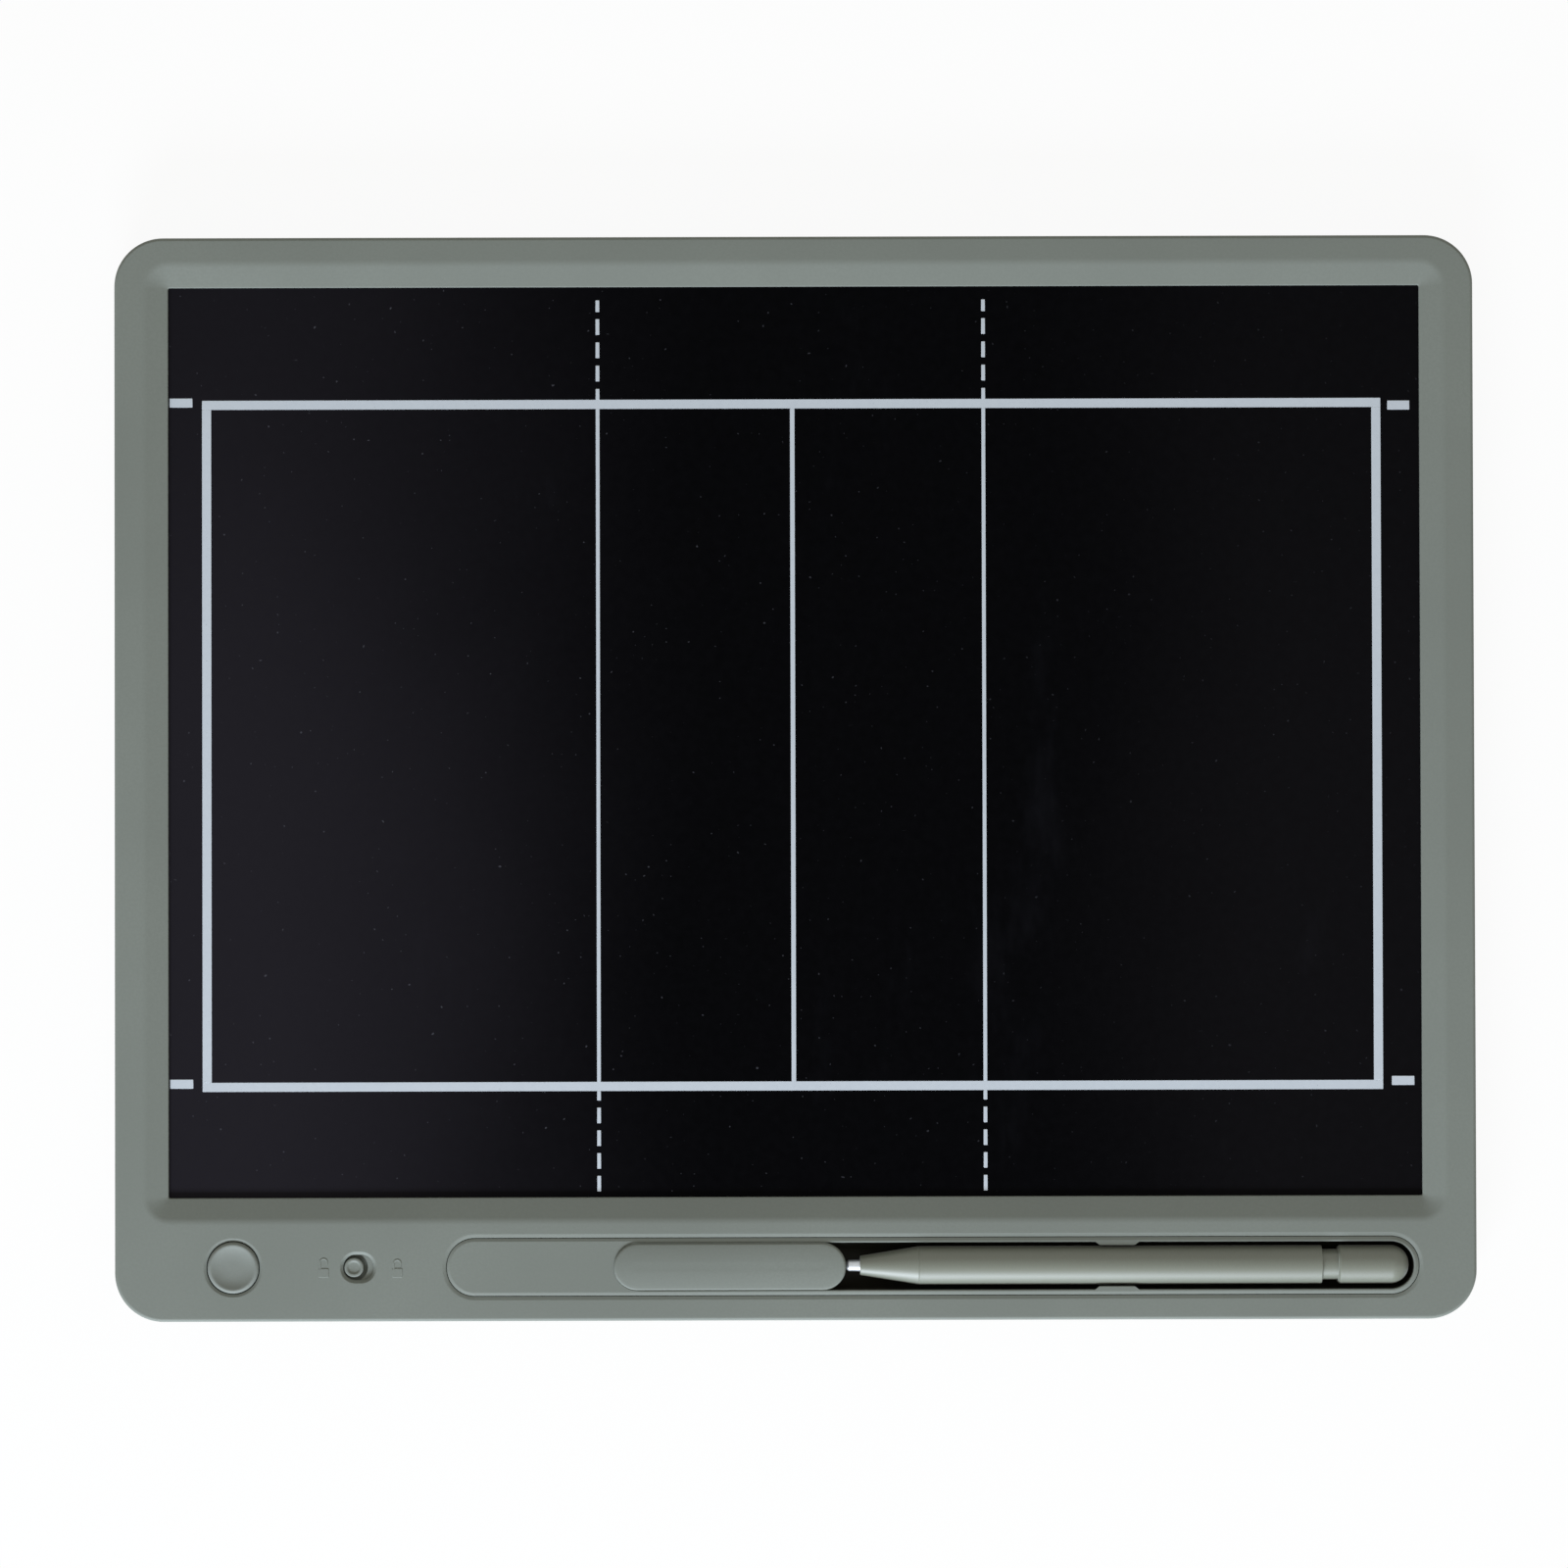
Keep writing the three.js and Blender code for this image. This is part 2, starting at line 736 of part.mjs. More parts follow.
// The slider's cover: a low crowned bar with round ends.
function sliderCover() {
  const low = frontFace + sliderLift;
  const high = low + sliderThickness;
  const bar = plate(stadium(sliderLeft, sliderRight, stripY, sliderWidth / 2), high - overshoot, high,
    { round: sliderRound, steps: 3, curve: 5 });
  const half = sliderWidth / 2 + fitGap;
  const crownRadius = (half * half + sliderCrown * sliderCrown) / (2 * sliderCrown);
  const sweep = Math.asin(half / crownRadius);
  const crown = new THREE.Shape();
  crown.moveTo(stripY - half - overshoot, low);
  crown.lineTo(stripY + half + overshoot, low);
  crown.absarc(stripY, high - crownRadius, crownRadius, Math.PI / 2 - sweep, Math.PI / 2 + sweep);
  const crowned = bar.intersect(drawnAlongX(crown, sliderLeft - overshoot, sliderRight + overshoot, 5));
  return joined(crowned, ...sliderLegs(low + sliderThickness / 2));
}

function sliderLegs(high) {
  const middle = runnerRight - runnerLength / 2;
  const low = frontFace - runnerDrop - runnerHeight + fitGap;
  return [-1, 1].map((side) => rod(middle + (side * legSpacing) / 2, stripY, legRadius, low, high, 12));
}

// The runner under the cover: round at the pen's end, with a tongue on each side.
function sliderRunner() {
  const half = troughRadius - fitGap;
  const reach = half + runnerTongue;
  const high = frontFace + sliderLift;
  const low = frontFace - runnerDrop - runnerHeight;
  const start = runnerRight - runnerLength;
  const tongueStart = start + (runnerLength - tongueLength) / 2;
  const body = plate(stadium(start - 2 * half, runnerRight, stripY, half), low, high)
    .intersect(block(start, runnerRight, stripY - half, stripY + half, low, high));
  const tongues = plate(stadium(tongueStart - 2 * reach, runnerRight, stripY, reach),
    frontFace - runnerDrop - tongueHeight, frontFace - runnerDrop)
    .intersect(block(tongueStart, runnerRight, stripY - reach, stripY + reach, low, high));
  const middle = runnerRight - runnerLength / 2;
  const sockets = [-1, 1].map((side) => rod(middle + (side * legSpacing) / 2, stripY,
    legRadius + fitGap, low - overshoot, high + overshoot, 12));
  return cut(joined(body, tongues), ...sockets);
}

// The pen's four pieces, from its tip to its cap.
const coneStart = penTip + nibLength;
const barrelStart = coneStart + coneLength;
const neckStart = barrelStart + barrelLength;
const capStart = neckStart + neckLength;
const penEnd = capStart + capLength;
const spigotRadius = penRadius - penWall - fitGap;

function penNib() {
  const tail = coneStart + spigotLength;
  const fit = nibRootRadius - fitGap;
  return turnedAlongPen([
    [0, penTip], [nibFlatRadius, penTip], [nibTipRadius, penTip + nibRoundLength],
    [nibRootRadius, coneStart], [fit, coneStart], [fit, tail], [0, tail],
  ], 16);
}

function penCone() {
  const socketEnd = coneStart + spigotLength + fitGap;
  const spigotEnd = barrelStart + spigotLength;
  return turnedAlongPen([
    [0, socketEnd], [nibRootRadius, socketEnd], [nibRootRadius, coneStart], [coneTipRadius, coneStart],
    [penRadius, barrelStart], [spigotRadius, barrelStart], [spigotRadius, spigotEnd], [0, spigotEnd],
  ]);
}

function penBarrel() {
  const bore = penRadius - penWall;
  return turnedAlongPen([
    [bore, barrelStart], [penRadius, barrelStart], [penRadius, neckStart], [bore, neckStart],
    [bore, barrelStart],
  ]);
}

function penCap() {
  const spigotStart = neckStart - spigotLength;
  const round = [];
  const steps = 6;
  for (let i = 0; i <= steps; i += 1) {
    const angle = (i / steps) * (Math.PI / 2);
    round.push([penRadius - capEndRound * (1 - Math.cos(angle)),
      penEnd - capEndRound * (1 - Math.sin(angle))]);
  }
  return turnedAlongPen([
    [0, spigotStart], [spigotRadius, spigotStart], [spigotRadius, neckStart], [neckRadius, neckStart],
    [neckRadius, capStart], [penRadius - capChamfer, capStart], [penRadius, capStart + capChamfer],
    ...round, [0, penEnd],
  ]);
}

// Profile of a shallow bowl, from its rim in to the axis.
function dish(radius, level, depth, steps = 4) {
  return Array.from({ length: steps }, (_, i) => {
    const angle = ((i + 1) / steps) * (Math.PI / 2);
    return [i + 1 < steps ? radius * Math.cos(angle) : 0, level - depth * Math.sin(angle)];
  });
}

// The erase button's cap, dished on top, with a flange that stops it under the bezel.
function buttonCap() {
  const high = frontFace + buttonProud;
  const flangeTop = bezelUnder - guideHeight - fitGap;
  const flangeUnder = flangeTop - buttonFlangeThickness;
  const flangeRadius = buttonRadius + buttonFlange;
  const rim = buttonRadius - buttonRim;
  return turned([
    [0, plungerTop], [buttonHubRadius, plungerTop], [buttonHubRadius, flangeUnder],
    [flangeRadius, flangeUnder], [flangeRadius, flangeTop], [buttonRadius, flangeTop],
    [buttonRadius, high - buttonEdge], [buttonRadius - buttonEdge, high], [rim, high],
    ...dish(rim, high, buttonDish),
  ], buttonX, stripY, 32);
}

const plungerTop = pcbFace + tactHeight + buttonTravel + seamGap / 2;

function tactPlunger() {
  return rod(buttonX, stripY, plungerRadius, pcbFace + tactHeight / 2, plungerTop, 16);
}

function tactBody() {
  const half = tactSize / 2;
  const high = pcbFace + tactHeight;
  const body = block(buttonX - half, buttonX + half, stripY - half, stripY + half, pcbFace, high);
  const low = pcbFace + tactHeight / 2 - buttonTravel - fitGap / 2;
  return cut(body, rod(buttonX, stripY, plungerRadius + fitGap, low, high + overshoot, 16));
}

// The lock's plate and knob, and the switch lever that it moves.
const lockPlateTop = bezelUnder - lockPlateDrop;
const lockPlateUnder = lockPlateTop - lockPlateThickness;

function lockKnob() {
  const halfLength = lockPlateLength / 2;
  const halfWidth = lockPlateWidth / 2;
  const high = frontFace - lockKnobSunk;
  const slide = plate(roundedRect(knobX - halfLength, knobX + halfLength, stripY - halfWidth,
    stripY + halfWidth, lockPlateRadius), lockPlateUnder, lockPlateTop, { curve: 1 });
  const shoulder = lockKnobRadius - lockKnobEdge;
  const rim = shoulder - lockKnobRim;
  const knob = turned([
    [0, lockPlateUnder], [lockKnobRadius, lockPlateUnder], [lockKnobRadius, high - lockKnobEdge],
    [shoulder, high], [rim, high], ...dish(rim, high, lockKnobDish, 3),
  ], knobX, stripY, 24);
  return joined(slide, knob);
}

function lockLever() {
  const half = leverSize / 2;
  return block(knobX - half, knobX + half, stripY - half, stripY + half,
    pcbFace + slideSwitchHeight / 2, lockPlateUnder);
}

function lockSwitchBody() {
  const halfLength = slideSwitchLength / 2;
  const halfWidth = slideSwitchWidth / 2;
  const high = pcbFace + slideSwitchHeight;
  const body = block(lockX - halfLength, lockX + halfLength, stripY - halfWidth, stripY + halfWidth,
    pcbFace, high);
  const reach = leverSize / 2 + fitGap;
  const slot = block(knobX - reach, knobX + lockTravel + reach, stripY - reach, stripY + reach,
    pcbFace + slideSwitchHeight / 2 - fitGap, high + overshoot);
  return cut(body, slot);
}

// Screen stack.
function panelTape() {
  const outside = block(panelLeft, panelRight, panelLow + flexLedge, panelHigh, panelTop, bezelUnder);
  const inside = block(panelLeft + tapeWidth, panelRight - tapeWidth, panelLow + flexLedge + tapeWidth,
    panelHigh - tapeWidth, panelTop - overshoot, bezelUnder + overshoot);
  return cut(outside, inside);
}

function screenPanel() {
  return block(panelLeft, panelRight, panelLow, panelHigh, panelUnder, panelTop);
}

function screenBacking() {
  return plate(roundedRect(panelLeft, panelRight, panelLow + flexLedge + fitGap, panelHigh, backingCorner),
    backingUnder, panelUnder, { curve: 1 });
}

function flexTail() {
  const start = panelLow + flexLedge;
  const bend = panelLow - panelLap;
  const high = panelUnder - tailThickness;
  const path = [[connectorMouth - tailInsert, tailLanding], [bend - tailBend, tailLanding],
    [bend, tailLanding + tailBend], [bend, high - tailBend], [bend + tailBend, high], [start, high]];
  return bentStrip(path, tailThickness, chipX - tailWidth / 2, chipX + tailWidth / 2);
}

// The socket that the tail slides into, with its mouth towards the screen.
function flexConnector() {
  const half = tailWidth / 2 + connectorWall;
  const body = block(chipX - half, chipX + half, connectorMouth - connectorDepth, connectorMouth,
    pcbFace, pcbFace + connectorHeight);
  const reach = tailWidth / 2 + fitGap;
  const mouth = block(chipX - reach, chipX + reach, connectorMouth - tailInsert - fitGap,
    connectorMouth + overshoot, tailLanding - fitGap, tailLanding + tailThickness + fitGap);
  return cut(body, mouth);
}

// Circuit board and its parts.
function circuitBoard() {
  const outline = roundedRect(pcbLeft, pcbRight, pcbLow, pcbHigh, pcbCorner);
  const body = plate(outline, pcbUnder, pcbFace, { curve: 1 });
  return cut(body, ...pcbScrewPlaces.map(([x, y]) =>
    rod(x, y, pcbScrewRadius + fitGap, pcbUnder - overshoot, pcbFace + overshoot, 12)));
}

function driverChip() {
  const y = stripY + chipShift;
  return block(chipX - chipSize / 2, chipX + chipSize / 2, y - chipSize / 2, y + chipSize / 2,
    pcbFace, pcbFace + chipHeight);
}

function coil() {
  return rod(chipX + coilShift, pcbLow + passiveInset, coilRadius, pcbFace, pcbFace + coilHeight);
}

function capacitor() {
  return rod(chipX + capacitorShift, pcbLow + passiveInset, capacitorRadius, pcbFace,
    pcbFace + capacitorHeight);
}

// A small screw standing on its shank's end, with its head above or below.
function screw(x, y, tip, seat, headEnd, shankRadius, headRadius) {
  const up = Math.sign(headEnd - seat);
  const profile = [
    [0, tip], [shankRadius - screwPoint, tip], [shankRadius, tip + up * screwPoint],
    [shankRadius, seat], [headRadius, seat], [headRadius, headEnd - up * screwEdge],
    [headRadius - screwEdge, headEnd], [0, headEnd],
  ];
  return turned(up > 0 ? profile : profile.reverse(), x, y, 12);
}

// Coin cell, contacts and door.
function coinCell() {
  const inner = cellRadius - cellRim;
  return turned([
    [0, cellUnder], [cellRadius - cellEdge, cellUnder], [cellRadius, cellUnder + cellEdge],
    [cellRadius, cellTop - cellStep - cellEdge], [cellRadius - cellEdge, cellTop - cellStep],
    [inner, cellTop - cellStep], [inner, cellTop], [0, cellTop],
  ], cellX, cellY, 32);
}

function negativeContact() {
  const x = cellX + negativeOffset;
  const flat = cellTop + contactTouch;
  const foot = pcbHigh - contactFootInset;
  const path = [[foot - contactFoot, pcbFace], [foot, pcbFace], [foot + contactRamp, flat],
    [cellY + contactReach, flat]];
  return bentStrip(path, contactThickness, x - contactWidth / 2, x + contactWidth / 2);
}

function positiveContact() {
  const x = cellX + positiveOffset;
  const inner = Math.abs(positiveOffset) - contactWidth / 2;
  const near = cellY - Math.sqrt(cellRadius * cellRadius - inner * inner) - contactTouch - contactThickness;
  const shelf = cellUnder + cellHeight / 2 + contactShelf;
  const foot = pcbHigh - contactFootInset;
  const path = [[foot - contactFoot, pcbFace], [foot, pcbFace], [foot + contactRamp, shelf],
    [near - contactHook, shelf], [near, padTop + fitGap]];
  return bentStrip(path, contactThickness, x - contactWidth / 2, x + contactWidth / 2);
}

function batteryDoor() {
  const body = plate(doorOutline(0), rearFace, doorTop, { curve: 2 });
  const headRoom = rod(doorScrewX, cellY, doorScrewHead + fitGap, rearFace - overshoot,
    rearFace + doorScrewSeat);
  const hole = rod(doorScrewX, cellY, doorScrewRadius + fitGap, rearFace, doorTop + overshoot, 12);
  const start = doorLeft + thumbInset;
  const thumb = stadium(start, start + thumbLength, cellY, thumbWidth / 2);
  return cut(body, headRoom, hole, plate(thumb, rearFace - overshoot, rearFace + thumbDepth, { curve: 2 }));
}

function rubberFoot(x, y) {
  return turned([
    [0, 0], [footRadius - footEdge, 0], [footRadius, footEdge], [footRadius, footStand + footSeat],
    [0, footStand + footSeat],
  ], x, y, 24);
}

addPiece('front_bezel', frontBezel(), 'shell');
addPiece('rear_cover', rearCover(), 'shell');
addPiece('pen_tray', penTray(), 'shell');
addPiece('lcd_panel', screenPanel(), 'screen');
addPiece('lcd_adhesive_frame', panelTape(), 'black');
addPiece('lcd_backing_sheet', screenBacking(), 'backing');
addPiece('lcd_flex_tail', flexTail(), 'amber');
addPiece('flex_connector', flexConnector(), 'black');
addPiece('circuit_board', circuitBoard(), 'board');
addPiece('driver_chip', driverChip(), 'black');
addPiece('boost_coil', coil(), 'black');
addPiece('filter_capacitor', capacitor(), 'steel');
addPiece('erase_switch_body', tactBody(), 'black');
addPiece('erase_switch_plunger', tactPlunger(), 'black');
addPiece('erase_button_cap', buttonCap(), 'shell');
addPiece('lock_switch_body', lockSwitchBody(), 'steel');
addPiece('lock_switch_lever', lockLever(), 'black');
addPiece('lock_knob', lockKnob(), 'shell');
addPiece('pen_slider_cover', sliderCover(), 'shell');
addPiece('pen_slider_runner', sliderRunner(), 'shell');
addPiece('stylus_nib', penNib(), 'steel');
addPiece('stylus_cone', penCone(), 'pen');
addPiece('stylus_barrel', penBarrel(), 'pen');
addPiece('stylus_end_cap', penCap(), 'pen');
addPiece('coin_cell', coinCell(), 'steel');
addPiece('battery_contact_negative', negativeContact(), 'brass');
addPiece('battery_contact_positive', positiveContact(), 'brass');
addPiece('battery_door', batteryDoor(), 'shell');
addPiece('battery_door_screw', screw(doorScrewX, cellY, cellTop - doorScrewShort, rearFace + doorScrewSeat,
  rearFace + doorScrewSunk, doorScrewRadius, doorScrewHead), 'steel');
screwPlaces.forEach(([x, y], i) => {
  const seat = rearFace + counterboreDepth;
  addPiece(`housing_screw_${i + 1}`, screw(x, y, bezelRim + screwEngage, seat, seat - screwHeadHeight,
    screwRadius, screwHeadRadius), 'steel');
});
pcbScrewPlaces.forEach(([x, y], i) => {
  const tip = rearInner - standHeight + fitGap;
  addPiece(`pcb_screw_${i + 1}`,
    screw(x, y, tip, pcbFace, pcbFace + pcbScrewHeadHeight, pcbScrewRadius, pcbScrewHead), 'steel');
});
footPlaces.forEach(([x, y], i) => {
  addPiece(`rubber_foot_${i + 1}`, rubberFoot(x, y), 'rubber');
});

export default group;
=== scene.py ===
# %% [markdown]
# # A writing board printed with a game court
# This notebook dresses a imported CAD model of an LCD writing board: a moulded frame
# round a dark writing film, an erase button, a lock switch, and a pen in a tray that
# a slider half covers. The CAD frame stays where it is. Each cell adds one piece or
# one finish to it, and prints what it made.

import math

import bmesh
import bpy
from mathutils import Matrix, Vector


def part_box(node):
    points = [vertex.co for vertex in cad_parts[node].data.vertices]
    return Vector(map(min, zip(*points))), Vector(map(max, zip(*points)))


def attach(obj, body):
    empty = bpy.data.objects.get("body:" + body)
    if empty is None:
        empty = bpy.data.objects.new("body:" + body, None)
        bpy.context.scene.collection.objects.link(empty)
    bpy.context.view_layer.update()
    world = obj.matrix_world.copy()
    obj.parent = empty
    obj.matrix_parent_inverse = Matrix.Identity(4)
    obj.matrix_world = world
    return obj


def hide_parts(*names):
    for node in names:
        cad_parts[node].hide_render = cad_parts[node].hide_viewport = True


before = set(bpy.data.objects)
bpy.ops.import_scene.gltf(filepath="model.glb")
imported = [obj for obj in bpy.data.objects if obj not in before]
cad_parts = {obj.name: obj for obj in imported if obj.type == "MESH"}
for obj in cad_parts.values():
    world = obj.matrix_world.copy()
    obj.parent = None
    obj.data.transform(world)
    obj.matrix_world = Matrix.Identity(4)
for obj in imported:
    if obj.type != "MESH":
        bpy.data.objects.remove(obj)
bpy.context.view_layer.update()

# %% [markdown]
# ## Sizes come from the frame
# Blender works in metres and the drawings of such a board in millimetres, so shapes
# are made in millimetres and shrunk at the end. Places are read from the CAD nodes'
# boxes instead of being typed again, and a piece then cannot drift off its node.

# %% Read the places
MM = 0.001


def box(node):
    """Lowest and highest corner of a CAD node, in millimetres."""
    low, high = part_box(node)
    return low / MM, high / MM


def middle(node):
    low, high = box(node)
    return (low + high) / 2


board_low, board_high = box("front_bezel")
rim_level, face_level = board_low.z, board_high.z
SKIN = 2.2
under_level = face_level - SKIN
panel_level = box("lcd_panel")[1].z
strip_y = middle("erase_button_cap").y
pen_axis = middle("stylus_barrel")
pen_radius = (box("stylus_barrel")[1].z - box("stylus_barrel")[0].z) / 2
print("front face at", round(face_level, 2), "and pen radius", round(pen_radius, 2))

# %% [markdown]
# ## Outlines and profiles
# Nearly every part of a moulded housing is an outline in plan that is walked along a
# profile in section: in and up round an edge, or in and down into a hole. The outline
# starts as one square face with its corners bevelled, and each step of the walk is an
# inset with a depth. One helper then serves the frame, the tray, the slider and every
# hole. Corner points of a profile carry the radius that rounds them, as on a drawing.

# %% Helpers that walk an outline along a profile
TOUCHING = 1e-4


def rounded(corners, steps=5):
    """Points along a profile of (across, level, radius) corners, each rounded by its radius."""
    points = [Vector(corners[0][:2])]
    for before, corner, after in zip(corners, corners[1:], corners[2:]):
        here = Vector(corner[:2])
        arrive = (here - Vector(before[:2])).normalized()
        leave = (Vector(after[:2]) - here).normalized()
        bend = math.atan2(arrive.x * leave.y - arrive.y * leave.x, arrive.dot(leave))
        radius = corner[2] if len(corner) > 2 else 0
        if not radius:
            points.append(here)
            continue
        start = here - arrive * radius * math.tan(abs(bend) / 2)
        side = Vector((-arrive.y, arrive.x)) * math.copysign(radius, bend)
        spoke = -side
        for i in range(steps + 1):
            points.append(start + side + Matrix.Rotation(bend * i / steps, 2) @ spoke)
    points.append(Vector(corners[-1][:2]))
    return [p for i, p in enumerate(points) if not i or (p - points[i - 1]).length > TOUCHING]


def outline_face(bm, outline, inset, level, segments=24):
    """One face in the shape of a rounded rectangle (x0, x1, y0, y1, corner radius).

    A full round end keeps a short flat in its middle, because each inset shortens that
    edge a little, and an edge that shrinks to nothing would turn the walk inside out.
    """
    x0, x1, y0, y1, radius = outline
    full = 1 - 1.05 * math.tan(math.pi / 8 / segments)
    half = Vector(((x1 - x0) / 2 - inset, (y1 - y0) / 2 - inset, 1))
    place = Matrix.Translation(((x0 + x1) / 2, (y0 + y1) / 2, level))
    corners = bmesh.ops.create_grid(
        bm, x_segments=1, y_segments=1, size=1,
        matrix=place @ Matrix.Diagonal((*half, 1)))["verts"]
    round_off = bmesh.ops.bevel(
        bm, geom=corners, offset=min(radius - inset, min(half.xy) * full), offset_type="OFFSET",
        segments=segments, profile=0.5, affect="VERTICES", material=-1, clamp_overlap=False)
    return round_off["verts"][0].link_faces[0]


def walk(bm, outline, corners, steps=5, segments=24, opened=True):
    """Walks an outline along a profile of (inset, level, radius) corners."""
    points = rounded(corners, steps)
    face = outline_face(bm, outline, points[0].x, points[0].y, segments)
    for a, b in zip(points, points[1:]):
        bmesh.ops.inset_region(
            bm, faces=[face], thickness=b.x - a.x, depth=b.y - a.y,
            use_boundary=True, use_even_offset=True)
    if opened:
        bmesh.ops.delete(bm, geom=[face], context="FACES_ONLY")
    return face


def slab(bm, outline, low, corners, steps, segments):
    """A closed slab: a flat bottom, and a walk from there to a closed top."""
    walk(bm, outline, [(0, low), *corners], steps, segments, opened=False)
    outline_face(bm, outline, 0, low, segments)


def fill_level(bm, level):
    """Fills the flat land between all the open loops at one level."""
    bmesh.ops.remove_doubles(bm, verts=bm.verts, dist=TOUCHING)
    edges = [e for e in bm.edges
             if e.is_boundary and all(abs(v.co.z - level) < 1e-3 for v in e.verts)]
    made = bmesh.ops.triangle_fill(bm, edges=edges, use_beauty=True, normal=(0, 0, 1))
    return [g for g in made["geom"] if isinstance(g, bmesh.types.BMFace)]


def round_hole(x, y, radius):
    """The outline of a round hole, as a square with corners as large as itself."""
    return (x - radius, x + radius, y - radius, y + radius, radius)


def grown(outline, by):
    x0, x1, y0, y1, radius = outline
    return (x0 - by, x1 + by, y0 - by, y1 + by, radius + by)


edge = rounded([(0, 0), (0, 4, 1.6), (4, 4)], 3)
print("profile of a 1.6 mm edge:", [tuple(round(c, 2) for c in point) for point in edge])

# %% [markdown]
# Round parts such as the pen and the button are turned instead: a line of points is
# spun about an axis, and its ends lie on that axis so that the solid closes. Bars are
# a face that is drawn out. Two closed solids are joined or cut with a Boolean
# modifier that is applied at once, and `piece` ties the finished mesh to the frame.

# %% Helpers that turn, draw out and join
def turn(bm, corners, centre, axis="Z", sides=72, steps=5):
    """Spins a profile of (radius, distance, rounding) corners about an axis through a point."""
    points = rounded(corners, steps)
    up = {"Z": Vector((0, 0, 1)), "X": Vector((1, 0, 0))}[axis]
    out = {"Z": Vector((1, 0, 0)), "X": Vector((0, 0, 1))}[axis]
    ring = [bm.verts.new(Vector(centre) + out * p.x + up * p.y) for p in points]
    line = [bm.edges.new(pair) for pair in zip(ring, ring[1:])]
    bmesh.ops.spin(
        bm, geom=ring + line, cent=centre, axis=up, angle=math.tau, steps=sides, use_merge=True)
    bmesh.ops.remove_doubles(bm, verts=bm.verts, dist=TOUCHING)


def drawn_out(bm, faces, along):
    """Extrudes faces along a vector and returns the faces at the new end."""
    made = bmesh.ops.extrude_face_region(bm, geom=faces)["geom"]
    moved = [g for g in made if isinstance(g, bmesh.types.BMVert)]
    bmesh.ops.translate(bm, vec=along, verts=moved)
    return [g for g in made if isinstance(g, bmesh.types.BMFace)]


def combine(first, second, operation):
    """Joins or cuts one closed shape with another, and returns the shape that results."""
    scene = bpy.context.scene.collection
    pair = []
    for shape in (first, second):
        bmesh.ops.remove_doubles(shape, verts=shape.verts, dist=TOUCHING)
        bmesh.ops.recalc_face_normals(shape, faces=shape.faces)
        mesh = bpy.data.meshes.new("workpiece")
        shape.to_mesh(mesh)
        shape.free()
        pair.append(bpy.data.objects.new("workpiece", mesh))
        scene.objects.link(pair[-1])
    modifier = pair[0].modifiers.new("combine", "BOOLEAN")
    modifier.operation, modifier.object, modifier.solver = operation, pair[1], "EXACT"
    made = pair[0].evaluated_get(bpy.context.evaluated_depsgraph_get())
    result = bmesh.new()
    result.from_mesh(made.to_mesh())
    made.to_mesh_clear()
    for o in pair:
        mesh = o.data
        bpy.data.objects.remove(o)
        bpy.data.meshes.remove(mesh)
    return result


def piece(name, bm, material, body="housing", stands_for=(), smooth=40):
    """Makes a finished object of a mesh drawn in millimetres, and ties it to the frame."""
    bmesh.ops.remove_doubles(bm, verts=bm.verts, dist=TOUCHING)
    bmesh.ops.recalc_face_normals(bm, faces=bm.faces)
    open_edges = sum(not e.is_manifold for e in bm.edges)
    bmesh.ops.scale(bm, vec=(MM, MM, MM), verts=bm.verts)
    mesh = bpy.data.meshes.new(name)
    bm.to_mesh(mesh)
    bm.free()
    for face in mesh.polygons:
        face.use_smooth = True
    mesh.set_sharp_from_angle(angle=math.radians(smooth))
    mesh.materials.append(material)
    made = bpy.data.objects.new(name, mesh)
    bpy.context.scene.collection.objects.link(made)
    weighted = made.modifiers.new("flat_faces_stay_flat", "WEIGHTED_NORMAL")
    weighted.keep_sharp = True
    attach(made, body)
    if stands_for:
        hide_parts(*stands_for)
    print(f"{name}: {len(mesh.polygons)} faces, {open_edges} open edges")
    return made


print("helpers ready")

# %% [markdown]
# ## Values of a shader as Python numbers
# A procedural finish is a small sum over noises and masks. Wrapping a node's socket
# in a class lets that sum be written as a Python expression: `1 - mask * 0.2` adds
# the two Math nodes by itself. All nodes, also those of the floor and the world, come
# from one method that takes a type, its settings, and its sockets' values or links.

# %% A socket that can be added and multiplied
class Value:
    """An output socket in a node tree, used like a number."""

    def __init__(self, nodes, socket):
        self.nodes, self.socket = nodes, socket

    def math(self, operation, *others, first=None):
        values = [self, *others] if first is None else [first, self]
        return self.nodes.node(
            "ShaderNodeMath", {"operation": operation}, dict(enumerate(values)))

    def __add__(self, other):
        return self.math("ADD", other)

    def __radd__(self, other):
        return self.math("ADD", first=other)

    def __sub__(self, other):
        return self.math("SUBTRACT", other)

    def __rsub__(self, other):
        return self.math("SUBTRACT", first=other)

    def __mul__(self, other):
        return self.math("MULTIPLY", other)

    def __rmul__(self, other):
        return self.math("MULTIPLY", first=other)

    def __lt__(self, other):
        return self.math("LESS_THAN", other)

    def __abs__(self):
        return self.math("ABSOLUTE")


class Nodes:
    """The node tree of a material or a world."""

    def __init__(self, owner, empty=True):
        owner.use_nodes = True
        self.tree = owner.node_tree
        if empty:
            self.tree.nodes.clear()

    def node(self, kind, settings=None, sockets=None, out=0):
        """Adds one node: first its settings, then the values or links of its sockets."""
        made = self.tree.nodes.new(kind)
        for key, value in (settings or {}).items():
            setattr(made, key, value)
        for key, value in (sockets or {}).items():
            if isinstance(value, Value):
                self.tree.links.new(value.socket, made.inputs[key])
            else:
                made.inputs[key].default_value = value
        return Value(self, made.outputs[out]) if made.outputs else None


